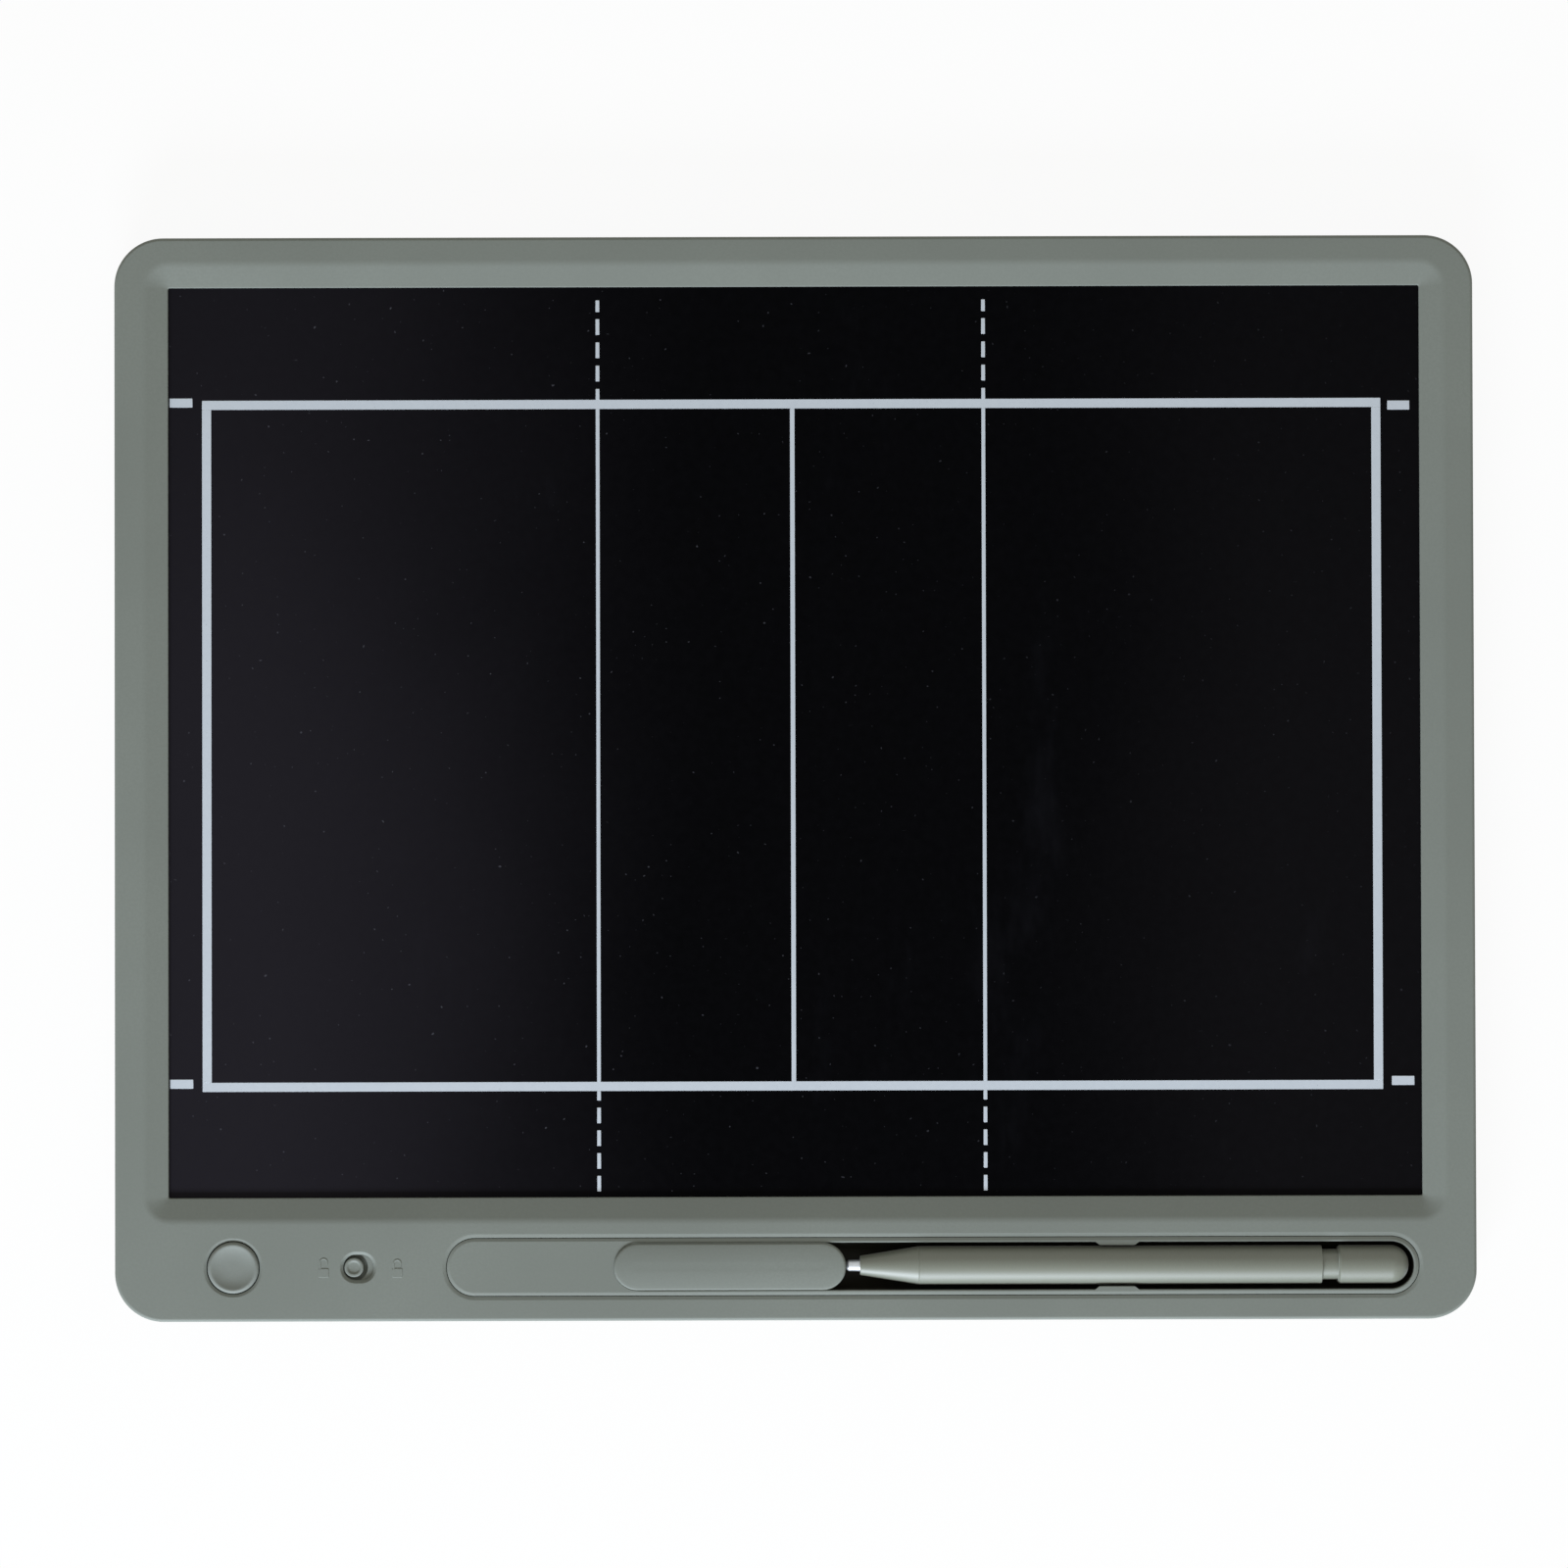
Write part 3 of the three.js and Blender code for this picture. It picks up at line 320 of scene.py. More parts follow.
class Finish(Nodes):
    """A material under construction. Fixed values sit on the shader's own sockets."""

    def __init__(self, name, **fixed):
        self.material = bpy.data.materials.new(name)
        super().__init__(self.material, empty=False)
        self.shader = self.tree.nodes["Principled BSDF"]
        for socket, value in fixed.items():
            self.shader.inputs[socket.replace("_", " ")].default_value = value
        self.place = self.node("ShaderNodeTexCoord", out="Object")

    def noise(self, scale, detail=3.0, roughness=0.5, stretch=None):
        """Soft random values round 0.5, with features of 1/scale metres."""
        place = self.place
        if stretch:
            place = self.node("ShaderNodeMapping", {}, {"Vector": place, "Scale": stretch})
        return self.node("ShaderNodeTexNoise", {}, {
            "Vector": place, "Scale": scale, "Detail": detail, "Roughness": roughness})

    def axis(self, name):
        return self.node("ShaderNodeSeparateXYZ", {}, {"Vector": self.place}, out=name)

    def step(self, value, start, end):
        """0 below start, 1 above end, and a smooth rise between them."""
        return self.node("ShaderNodeMapRange", {"interpolation_type": "SMOOTHSTEP"}, {
            "Value": value, "From Min": start, "From Max": end})

    def mix(self, factor, first, second):
        """A colour between two others."""
        return self.node("ShaderNodeMix", {"data_type": "RGBA"}, {
            0: factor, 6: first, 7: second}, out=2)

    def feed(self, **links):
        """Links values that change over the surface to the shader."""
        for socket, value in links.items():
            self.tree.links.new(value.socket, self.shader.inputs[socket.replace("_", " ")])
        return self

    def bump(self, height, strength, distance):
        normal = self.node("ShaderNodeBump", {}, {
            "Height": height, "Strength": strength, "Distance": distance}, out="Normal")
        return self.feed(Normal=normal)


def colour(red, green, blue):
    """A linear colour from the 0 to 255 values that a screen shows."""
    def linear(c):
        c /= 255
        return c / 12.92 if c <= 0.04045 else ((c + 0.055) / 1.055) ** 2.4
    return (linear(red), linear(green), linear(blue), 1.0)


print("mid grey is", [round(c, 3) for c in colour(128, 128, 128)])

# %% [markdown]
# ## The shell's finish
# The frame, tray, slider and rear cover are one grey-green ABS. The button has a
# lighter copy of that grey, painted brighter to stand in for the extra light it catches.
# A tool maker spark-erodes such a mould, which leaves a satin grain of less than half a
# millimetre. Over a wide face the colour drifts a little, and handled plastic is
# slightly shinier in patches. Fine noise makes the grain as bump, broad noise the drift
# of colour and gloss.

# %% Satin plastic
def scaled(shade, by):
    """A colour made lighter or darker by a factor."""
    return (*(channel * by for channel in shade[:3]), 1)


def satin_plastic(name, shade):
    finish = Finish(name, Specular_IOR_Level=0.22)
    drift = finish.noise(14, 3, 0.55)
    fleck = finish.noise(1500, 2, 0.6)
    tint = finish.mix(finish.step(drift, 0.3, 0.7), scaled(shade, 0.95), scaled(shade, 1.05))
    speck = finish.mix(finish.step(fleck, 0.35, 0.65) * 0.35, tint, scaled(shade, 0.9))
    finish.feed(Base_Color=speck, Roughness=0.5 + drift * 0.14)
    finish.bump(finish.noise(2600, 2, 0.6), 0.16, 0.00008)
    return finish


SHELL_GREY = colour(126, 131, 125)
# A lighter copy of the shell's grey: painted brightness on the button cap.
CAP_GREY_PAINTED_LIGHTER = colour(132, 137, 132)
shell = satin_plastic("shell_satin_plastic", SHELL_GREY).material
print("shell finish ready")

# %% [markdown]
# ## The front frame
# The frame is a thin moulding: a skirt, a rounded front edge, a flat border, and a
# slope that falls to the screen. It is open at the screen, the button, the lock and
# the tray. Skin, inside and each opening are walked as open tubes between the front
# face and its underside, and the flat lands between them are filled last. Each
# opening's rim is a funnel, given as its run outwards, its drop and two roundings.
# Beside the lock's hole a pocket is cut into the underside, for a step that slides
# along with the knob.

# %% Front frame
CORNER_RADIUS = 12
SIDE_BORDER, UPPER_BORDER, LOWER_BORDER = 13.1, 12.2, 30.3
LOCK_FROM_LEFT, LOCK_HALF_LENGTH, LOCK_HALF_WIDTH = 59.9, 3.7, 3.1
TRAY_FROM_LEFT, TRAY_FROM_RIGHT, TRAY_HALF_WIDTH = 80.6, 13.2, 8.1
GROOVE_RUN, GROOVE_DROP = 0.9, 0.24
STEP_REACH, STEP_HALF_WIDTH, KNOB_TRAVEL, PLAY = 5.3, 3.9, 2.2, 0.3

board = (board_low.x, board_high.x, board_low.y, board_high.y, CORNER_RADIUS)
window = (board_low.x + SIDE_BORDER, board_high.x - SIDE_BORDER,
          board_low.y + LOWER_BORDER, board_high.y - UPPER_BORDER, 0.4)
button_x = middle("erase_button_cap").x
lock_x, knob_x = board_low.x + LOCK_FROM_LEFT, middle("lock_knob").x
lock_hole = (lock_x - LOCK_HALF_LENGTH, lock_x + LOCK_HALF_LENGTH,
             strip_y - LOCK_HALF_WIDTH, strip_y + LOCK_HALF_WIDTH, LOCK_HALF_WIDTH)
tray = (board_low.x + TRAY_FROM_LEFT, board_high.x - TRAY_FROM_RIGHT,
        strip_y - TRAY_HALF_WIDTH, strip_y + TRAY_HALF_WIDTH, TRAY_HALF_WIDTH)
throat = grown(tray, -GROOVE_RUN)
step_level = face_level - 1.05


def step_pocket():
    """Room under the frame's skin for the step beside the knob."""
    ceiling, floor = step_level + PLAY / 2, under_level - 0.5
    across = STEP_HALF_WIDTH + PLAY
    bm = bmesh.new()
    slab(bm, (knob_x + 0.1, knob_x + STEP_REACH + KNOB_TRAVEL + PLAY,
              strip_y - across, strip_y + across, 1),
         floor, [(0, ceiling), (0.5, ceiling)], 1, 6)
    return bm


def front_frame():
    tongue = rim_level + 0.95
    bm = bmesh.new()
    walk(bm, board, [(0, rim_level), (0, face_level, 0.9), (2.4, face_level)], 8, 20)
    walk(bm, board, [(0, rim_level), (0.7, rim_level), (0.7, tongue), (1.8, tongue),
                     (1.8, under_level)], 1, 20)
    for opening, run, drop, rim, lip, land, steps, segments in (
            (window, 5.7, 1.6, 6, 0.3, 1.9, 6, 16),
            (round_hole(button_x, strip_y, 6.52), 0.7, 0.3, 0.4, 0.15, 0.5, 4, 20),
            (lock_hole, 0.75, 0.7, 0.2, 0.2, 0.45, 4, 16),
            (throat, GROOVE_RUN, GROOVE_DROP, 0.5, 0.12, 0.5, 4, 32)):
        walk(bm, opening, [(-run - land, face_level), (-run, face_level, rim),
                           (0, face_level - drop, lip), (0, under_level)], steps, segments)
    fill_level(bm, face_level)
    fill_level(bm, under_level)
    return combine(bm, step_pocket(), "DIFFERENCE")


piece("frame_moulding", front_frame(), shell, stands_for=["front_bezel"])

# %% [markdown]
# ## The rear cover
# The back is seen only when the board is turned over: a floor with a rounded edge,
# deep screw wells, seats for the feet, and the recess of the battery door. The CAD
# node already has all of it, so the piece is a merged copy of the node's mesh, with
# its coplanar triangles dissolved so that the shading runs smoothly over it.

# %% Rear cover
def merged_copy(node):
    """A copy of a CAD node's loose triangles as one clean mesh, in millimetres."""
    bm = bmesh.new()
    bm.from_mesh(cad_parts[node].data)
    bmesh.ops.scale(bm, vec=(1 / MM,) * 3, verts=bm.verts)
    bmesh.ops.remove_doubles(bm, verts=bm.verts, dist=1e-3)
    bmesh.ops.dissolve_limit(
        bm, angle_limit=math.radians(0.5), verts=bm.verts, edges=bm.edges, delimit=set())
    return bm


piece("back_moulding", merged_copy("rear_cover"), shell, stands_for=["rear_cover"], smooth=32)

# %% [markdown]
# ## The pen tray
# The tray drops into the frame's long opening. Its chamfered neck and the frame's
# chamfer make the V groove that runs all round. Left of the trough it is a plateau
# for the slider to run out on; the trough has a rounded floor, two lips that guard
# the pen, and a groove in each wall for the slider's runner. The lips are joined and
# the grooves cut by Booleans, as both interrupt the walls.

# %% Pen tray
TROUGH_HALF_WIDTH, TROUGH_TO_TRAY_END = 5.85, 2.25
LIP_FROM_TRAY_END, LIP_HEIGHT = 75.25, 2.4
LIP_ROOT, LIP_TIP, ROOT_HALF_LENGTH, TIP_HALF_LENGTH = 6.3, 5.02, 5.96, 4.3
FLANGE_REACH, NECK_INSET, TOP_INSET, WALL = 1.35, 1.05, 1.82, 1.4
SLIDER_TRAVEL, TONGUE_ROOM, TONGUE_DEPTH = 38, 1.4, 3.8
slider_left = box("pen_slider_cover")[0].x
trough = (slider_left + 0.9, tray[1] - TROUGH_TO_TRAY_END,
          strip_y - TROUGH_HALF_WIDTH, strip_y + TROUGH_HALF_WIDTH, TROUGH_HALF_WIDTH)
tray_bottom = box("pen_tray")[0].z
trough_floor = tray_bottom + 1


def tray_lip(side):
    """One lip: a bar with slanted ends, rooted in the trough's wall."""
    centre = tray[1] - LIP_FROM_TRAY_END
    bm = bmesh.new()
    root, tip = strip_y + side * LIP_ROOT, strip_y + side * LIP_TIP
    corners = [bm.verts.new((centre + dx, y, face_level - LIP_HEIGHT)) for dx, y in
               ((-ROOT_HALF_LENGTH, root), (ROOT_HALF_LENGTH, root),
                (TIP_HALF_LENGTH, tip), (-TIP_HALF_LENGTH, tip))]
    drawn_out(bm, [bm.faces.new(corners)], (0, 0, LIP_HEIGHT))
    bmesh.ops.recalc_face_normals(bm, faces=bm.faces)
    tip_edges = [e for e in bm.edges if all(abs(v.co.y - tip) < 0.01 for v in e.verts)]
    bmesh.ops.bevel(
        bm, geom=tip_edges, offset=0.25, offset_type="OFFSET", segments=4, profile=0.5,
        affect="EDGES", material=-1)
    return bm


def runner_groove():
    """The room that the runner's tongues need on their way along the trough."""
    low, high = box("pen_slider_runner")
    bm = bmesh.new()
    size = Vector((high.x - low.x + SLIDER_TRAVEL, high.y - low.y + 2 * PLAY, TONGUE_ROOM))
    centre = Vector((
        (low.x - SLIDER_TRAVEL + high.x) / 2, strip_y, face_level - TONGUE_DEPTH))
    bmesh.ops.create_cube(
        bm, size=1, matrix=Matrix.Translation(centre) @ Matrix.Diagonal((*size, 1)))
    return bm


def pen_tray():
    bm = bmesh.new()
    flange = under_level - 1.5
    walk(bm, tray, [(-FLANGE_REACH, flange), (-FLANGE_REACH, under_level),
                    (NECK_INSET, under_level), (NECK_INSET, face_level - GROOVE_DROP, 0.12),
                    (TOP_INSET, face_level, 0.4), (TOP_INSET + 0.2, face_level)], 4, 32)
    walk(bm, trough, [(-0.2, face_level), (0, face_level, 0.2), (0, trough_floor, 4),
                      (4.6, trough_floor)], 8, 32, opened=False)
    walk(bm, trough, [(-WALL, flange), (-WALL, tray_bottom, 0.6), (2, tray_bottom)],
         4, 32, opened=False)
    fill_level(bm, face_level)
    fill_level(bm, flange)
    bm = combine(bm, runner_groove(), "DIFFERENCE")
    for side in (-1, 1):
        bm = combine(bm, tray_lip(side), "UNION")
    return bm


def tray_plastic_with_painted_shade():
    """The shell's plastic on top, and painted near-black shade inside the trough, standing in for
    the shadow of its deep walls.
    """
    finish = satin_plastic("tray_plastic_painted_trough_shade", SHELL_GREY)
    # Below the rim the colour turns near black: painted shade in the deep trough.
    top = finish.step(finish.axis("Z"), (face_level - 1.3) * MM, (face_level - 0.5) * MM)
    top_colour = Value(finish, finish.shader.inputs["Base Color"].links[0].from_socket)
    finish.feed(Base_Color=finish.mix(top, colour(37, 35, 28), top_colour))
    return finish.material


piece("pen_tray_moulding", pen_tray(), tray_plastic_with_painted_shade(), stands_for=["pen_tray"])

# %% [markdown]
# ## The pen slider
# The slider is a low bar with round ends and a slight crown, which the light shows as
# a dark upper and a bright lower half. The bar is walked with a few extra rings on
# its top, and the rings are then let down by the square of their distance from the
# middle line.

# %% Pen slider
CROWN = 0.5


def slider_bar():
    low, high = box("pen_slider_cover")
    half = trough[4] + 0.05
    bar = (low.x, high.x + 0.25, strip_y - half, strip_y + half, half)
    under, top = face_level + 0.05, high.z - 0.3
    bm = bmesh.new()
    rings = [(0.7 + 0.6 * i, top) for i in range(1, 8)]
    walk(bm, bar, [(0, under + 0.15), (0, top, 0.6), *rings], 6, 32, opened=False)
    walk(bm, bar, [(0, under + 0.15), (0, under, 0.12), (5.2, under)], 3, 32, opened=False)
    bmesh.ops.remove_doubles(bm, verts=bm.verts, dist=TOUCHING)
    for v in bm.verts:
        if v.co.z > under + 0.2:
            v.co.z -= CROWN * ((v.co.y - strip_y) / half) ** 2
    return bm


piece("slider_bar", slider_bar(), shell, "pen_slider", ["pen_slider_cover"])
piece("slider_runner_block", merged_copy("pen_slider_runner"), shell, "pen_slider",
      ["pen_slider_runner"])

# %% [markdown]
# ## The erase button
# The cap stands a little proud in its well and is dished for a fingertip. Its rim is
# a narrow bright ring because both its edges are rounded. It is one turned profile,
# from the stem on the switch out to the flange that stops it, and in over the dish.
# The cap is moulded apart from the frame, and its plastic is a lighter copy of the shell's grey:
# painted brightness, standing in for the extra light on it.

# %% Erase button
STEM_RADIUS, CAP_RADIUS = 2.2, 6.35
FLANGE_LOW, FLANGE_HIGH = 7.6, 8.4
DISH_RADIUS, DISH_DEPTH = 5.5, 0.82


def button_cap():
    low, high = box("erase_button_cap")
    flange = (high.x - low.x) / 2
    shares = [1 - i / 12 for i in range(13)]
    dish = [(DISH_RADIUS * share, high.z - DISH_DEPTH * (1 - share ** 3)) for share in shares]
    bm = bmesh.new()
    turn(bm, [(0, low.z), (STEM_RADIUS, low.z), (STEM_RADIUS, FLANGE_LOW), (flange, FLANGE_LOW),
              (flange, FLANGE_HIGH), (CAP_RADIUS, FLANGE_HIGH), (CAP_RADIUS, high.z, DISH_DEPTH),
              *dish], (button_x, strip_y, 0), sides=96)
    return bm


cap_finish_painted_lighter = satin_plastic("cap_plastic_painted_lighter", CAP_GREY_PAINTED_LIGHTER).material
piece("button_cap", button_cap(), cap_finish_painted_lighter, "erase_button", ["erase_button_cap"])

# %% [markdown]
# ## The lock switch
# A small dished knob stands in a funnel-shaped hole on a plate that slides under the
# frame. The plate's top is flat, so knob and plate are two walks with the land
# between them filled. Right of the knob, past a deep round gap, the plate has a low
# step. It shows in the hole as a lighter crescent, and it runs into the frame's pocket
# when the knob slides.

# %% Lock knob
KNOB_RADIUS, GAP_RADIUS, PLATE_HEIGHT = 2.35, 3.4, 1


def knob_and_plate():
    low, high = box("lock_knob")
    plate = (low.x, high.x, low.y, high.y, 1)
    knob = round_hole(knob_x, strip_y, KNOB_RADIUS)
    top = low.z + PLATE_HEIGHT
    bm = bmesh.new()
    walk(bm, plate, [(0, low.z), (0, top, 0.2), (0.6, top)], 3, 6)
    outline_face(bm, plate, 0, low.z, 6)
    walk(bm, knob, [(-0.4, top), (0, top, 0.25), (0, high.z, 0.3), (0.65, high.z, 0.2),
                    (1.1, high.z - 0.3, 0.5), (2.1, high.z - 0.36)], 4, 12, opened=False)
    fill_level(bm, top)
    return bm


def knob_step():
    """A low step on the plate, right of the knob and of the deep gap round it."""
    low = box("lock_knob")[0].z + PLATE_HEIGHT - 0.1
    bm = bmesh.new()
    slab(bm, (knob_x + 1.4, knob_x + STEP_REACH,
              strip_y - STEP_HALF_WIDTH, strip_y + STEP_HALF_WIDTH, 0.6),
         low, [(0, step_level, 0.15), (0.4, step_level)], 3, 6)
    gap = bmesh.new()
    turn(gap, [(0, low - 1), (GAP_RADIUS, low - 1), (GAP_RADIUS, step_level + 1),
               (0, step_level + 1)], (knob_x, strip_y, 0))
    return combine(bm, gap, "DIFFERENCE")


piece("lock_knob_and_plate", knob_and_plate(), shell, "lock_switch", ["lock_knob"])
piece("lock_knob_step", knob_step(), shell, "lock_switch")

# %% [markdown]
# ## Lock signs
# On each side of the hole there is a small moulded sign in low relief. A generic open
# and closed padlock stand there: a rounded block, and a shackle that is a bar's
# section drawn up, spun half round and drawn down again. The section's faces that
# stay inside the shackle are deleted, so that it is one closed skin.

# %% Padlock reliefs
RELIEF_HEIGHT = 0.11


def padlock(x, y, opened):
    low, high = face_level - 0.1, face_level + RELIEF_HEIGHT
    bm = bmesh.new()
    slab(bm, (x - 1.3, x + 1.3, y - 2.5, y - 0.2, 0.4), low, [(0, high, 0.1), (0.3, high)], 3, 6)
    lift, short = (0.3, 0.5) if opened else (0, 0)
    section = (Matrix.Translation((x - 0.85, y - 0.4, face_level))
               @ Matrix.Rotation(math.pi / 2, 4, "X")
               @ Matrix.Diagonal((0.25, RELIEF_HEIGHT, 1, 1)))
    ring = bmesh.ops.create_circle(
        bm, cap_ends=True, radius=1, segments=12, matrix=section)["verts"]
    top = drawn_out(bm, ring[0].link_faces[:1], (0, 1.2 + lift, 0))
    arch = bmesh.ops.spin(
        bm, geom=top, cent=(x, y + 1 + lift, face_level), axis=(0, 0, -1), angle=math.pi,
        steps=12)
    last = [g for g in arch["geom_last"] if isinstance(g, bmesh.types.BMFace)]
    drawn_out(bm, last, (0, short - 1.2, 0))
    bmesh.ops.delete(bm, geom=[*top, *last], context="FACES_ONLY")
    return bm


piece("padlock_open_relief", padlock(lock_x - 8.5, strip_y, True), shell)
piece("padlock_closed_relief", padlock(lock_x + 9.6, strip_y, False), shell)

# %% [markdown]
# ## The pen
# The pen is turned about its own axis: a bare metal nib, a straight cone, a long
# barrel, a narrower neck and a cap with a full round end. Each joint has a fine V,
# because the pieces' edges are broken, and that V is what makes a seam show.

# %% Pen pieces
def turned_pen(corners, steps=6):
    bm = bmesh.new()
    turn(bm, corners, (0, strip_y, pen_axis.z), "X", 96, steps)
    return bm


def lacquer():
    """Grey-green metallic lacquer: satin flake under a soft clear coat."""
    finish = Finish("pen_pearl_lacquer", Specular_IOR_Level=1.0, Sheen_Weight=0.3)
    flake = finish.noise(5200, 2, 0.7)
    drift = finish.noise(30, 2, 0.5, (0.3, 1, 1))
    tint = finish.mix(finish.step(drift, 0.3, 0.7), colour(98, 102, 88), colour(104, 108, 94))
    glint = finish.mix(finish.step(flake, 0.4, 0.7) * 0.3, tint, colour(122, 128, 118))
    finish.feed(Base_Color=glint, Roughness=0.46 + flake * 0.1)
    finish.bump(finish.noise(3800, 2, 0.6), 0.06, 0.00005)
    return finish.material


def nib_metal():
    """Turned bright metal, with fine rings from the lathe."""
    finish = Finish("nib_turned_metal", Metallic=1.0)
    rings = finish.noise(900, 2, 0.6, (4, 0.05, 0.05))
    finish.feed(Base_Color=finish.mix(rings, colour(186, 189, 191), colour(204, 207, 209)),
                Roughness=0.44 + rings * 0.14)
    finish.bump(rings, 0.15, 0.00003)
    return finish.material


pen_lacquer, nib_steel = lacquer(), nib_metal()
NIB_LENGTH, NECK_LENGTH = 3.4, 4
tip = box("stylus_nib")[0].x
cone = tip + NIB_LENGTH
barrel, neck = (corner.x for corner in box("stylus_barrel"))
cap = neck + NECK_LENGTH
end = box("stylus_end_cap")[1].x
R = pen_radius
piece("nib", turned_pen([(0, tip), (1.0, tip, 0.3), (1.4, tip + 0.55, 0.4), (1.52, cone + 0.3),
                         (1.52, cone + 2), (0, cone + 2)]),
      nib_steel, "stylus", ["stylus_nib"])
piece("cone", turned_pen([(0, cone + 0.9), (1.6, cone + 0.9), (1.7, cone, 0.08),
                          (2.35, cone, 0.18), (R - 0.01, barrel - 0.06, 0.2),
                          (R - 0.07, barrel - 0.01), (0, barrel - 0.01)]),
      pen_lacquer, "stylus", ["stylus_cone"])
piece("barrel", turned_pen([(0, barrel + 0.01), (R - 0.07, barrel + 0.01),
                            (R, barrel + 0.07, 0.05), (R, neck, 0.2), (3.9, neck, 0.1),
                            (0, neck)]),
      pen_lacquer, "stylus", ["stylus_barrel"])
piece("end_cap", turned_pen([(0, neck), (3.75, neck), (3.75, cap, 0.12), (4.3, cap, 0.12),
                             (R, cap + 0.5, 0.2), (R, end, R - 0.25), (0, end)], 12),
      pen_lacquer, "stylus", ["stylus_end_cap"])

# %% [markdown]
# ## Rubber feet
# Four rubber feet are glued into round seats in the back and keep the board from
# sliding. Each is a turned button with a rounded lower edge, in a matt rubber that
# holds a little dust, so broad noise lightens its black.

# %% Rubber feet
def rubber():
    finish = Finish("foot_rubber", Roughness=0.85, Specular_IOR_Level=0.3)
    dust = finish.noise(260, 4, 0.6)
    finish.feed(Base_Color=finish.mix(finish.step(dust, 0.55, 0.75) * 0.5,
                                      colour(44, 45, 45), colour(78, 78, 75)),
                Roughness=0.75 + dust * 0.2)
    finish.bump(finish.noise(1800, 3, 0.6), 0.3, 0.0001)
    return finish.material


foot_rubber = rubber()
for i in range(1, 5):
    low, high = box(f"rubber_foot_{i}")
    centre = (low + high) / 2
    bm = bmesh.new()
    turn(bm, [(0, 0), (4.6, 0, 0.4), (5.0, 0.15, 0.3), (6, 0.8, 0.4), (6, high.z), (0, high.z)],
         (centre.x, centre.y, 0), sides=64)
    piece(f"foot_{i}", bm, foot_rubber, "housing", [f"rubber_foot_{i}"])

# %% [markdown]
# ## Screws
# Eight screws deep in their wells hold the back, one holds the battery door and two
# the circuit board. A screw is a turned profile whose thread is a zigzag of rings. A
# cross recess is cut into its head by two crossed wedges. The eight are alike, so one
# is made and copied, each turned a little further, as a hand would leave them.

# %% Screws with a cross recess
def plated():
    finish = Finish("screw_plated_steel", Roughness=0.32, Metallic=1.0)
    wear = finish.noise(700, 4, 0.6)
    finish.feed(Base_Color=finish.mix(wear, colour(168, 170, 170), colour(205, 207, 207)),
                Roughness=0.24 + wear * 0.2)
    finish.bump(finish.noise(2400, 2, 0.5), 0.1, 0.00004)
    return finish.material


THREAD_PITCH = 0.8


def cross_screw(head, height, shank, length):
    """A screw with its head at the bottom, seated at level 0, and its thread going up."""
    bm = bmesh.new()
    rings = []
    for i in range(int(length / THREAD_PITCH)):
        rings += [(shank, THREAD_PITCH / 2 + i * THREAD_PITCH),
                  (shank * 0.82, THREAD_PITCH + i * THREAD_PITCH)]
    turn(bm, [(0, -height), (head, -height, height * 0.45), (head, 0), (shank, 0), *rings,
              (shank * 0.5, length), (0, length)], (0, 0, 0), sides=32, steps=4)
    for turn_by in (0, math.pi / 2):
        bar = bmesh.new()
        bmesh.ops.create_cone(
            bar, cap_ends=True, segments=4, radius1=head * 0.95, radius2=head * 0.4, depth=height,
            matrix=Matrix.Rotation(turn_by, 4, "Z") @ Matrix.Diagonal((1, 0.22, 1, 1))
            @ Matrix.Rotation(math.pi / 4, 4, "Z"))
        bmesh.ops.translate(bar, vec=(0, 0, -height * 0.85), verts=bar.verts)
        bm = combine(bm, bar, "DIFFERENCE")
    return bm


def seated(bm, angle, axis, place):
    """Turns a finished screw and sets it in its place."""
    bmesh.ops.rotate(bm, cent=(0, 0, 0), matrix=Matrix.Rotation(angle, 3, axis), verts=bm.verts)
    bmesh.ops.translate(bm, vec=place, verts=bm.verts)
    return bm


steel = plated()
CASE_HEAD, DOOR_HEAD, BOARD_HEAD = 1.4, 0.74, 0.8
model = cross_screw(head=2.2, height=CASE_HEAD, shank=1.1, length=5.0)
for i in range(1, 9):
    low, high = box(f"housing_screw_{i}")
    centre = (low + high) / 2
    bm = seated(model.copy(), 0.7 * i, "Z", (centre.x, centre.y, low.z + CASE_HEAD))
    piece(f"case_screw_{i}", bm, steel, "housing", [f"housing_screw_{i}"])
model.free()

low, high = box("battery_door_screw")
centre = (low + high) / 2
bm = cross_screw(head=2.0, height=DOOR_HEAD, shank=1.0, length=high.z - low.z - 0.8)
bm = seated(bm, 0, "Z", (centre.x, centre.y, low.z + DOOR_HEAD))
piece("door_screw", bm, steel, "door", ["battery_door_screw"])

for i in (1, 2):
    low, high = box(f"pcb_screw_{i}")
    centre = (low + high) / 2
    bm = cross_screw(head=1.7, height=BOARD_HEAD, shank=0.8, length=high.z - low.z - 0.85)
    bm = seated(bm, math.pi, "X", (centre.x, centre.y, high.z - BOARD_HEAD))
    piece(f"board_screw_{i}", bm, steel, "housing", [f"pcb_screw_{i}"])

# %% [markdown]
# ## The battery door
# The door is a flat lid over the coin cell, held by its screw. Its outside is two
# walks that meet on its side, so that the edges of both faces are broken. The screw's
# head sinks into a stepped round hole, and a thumb dent helps to lift the lid.

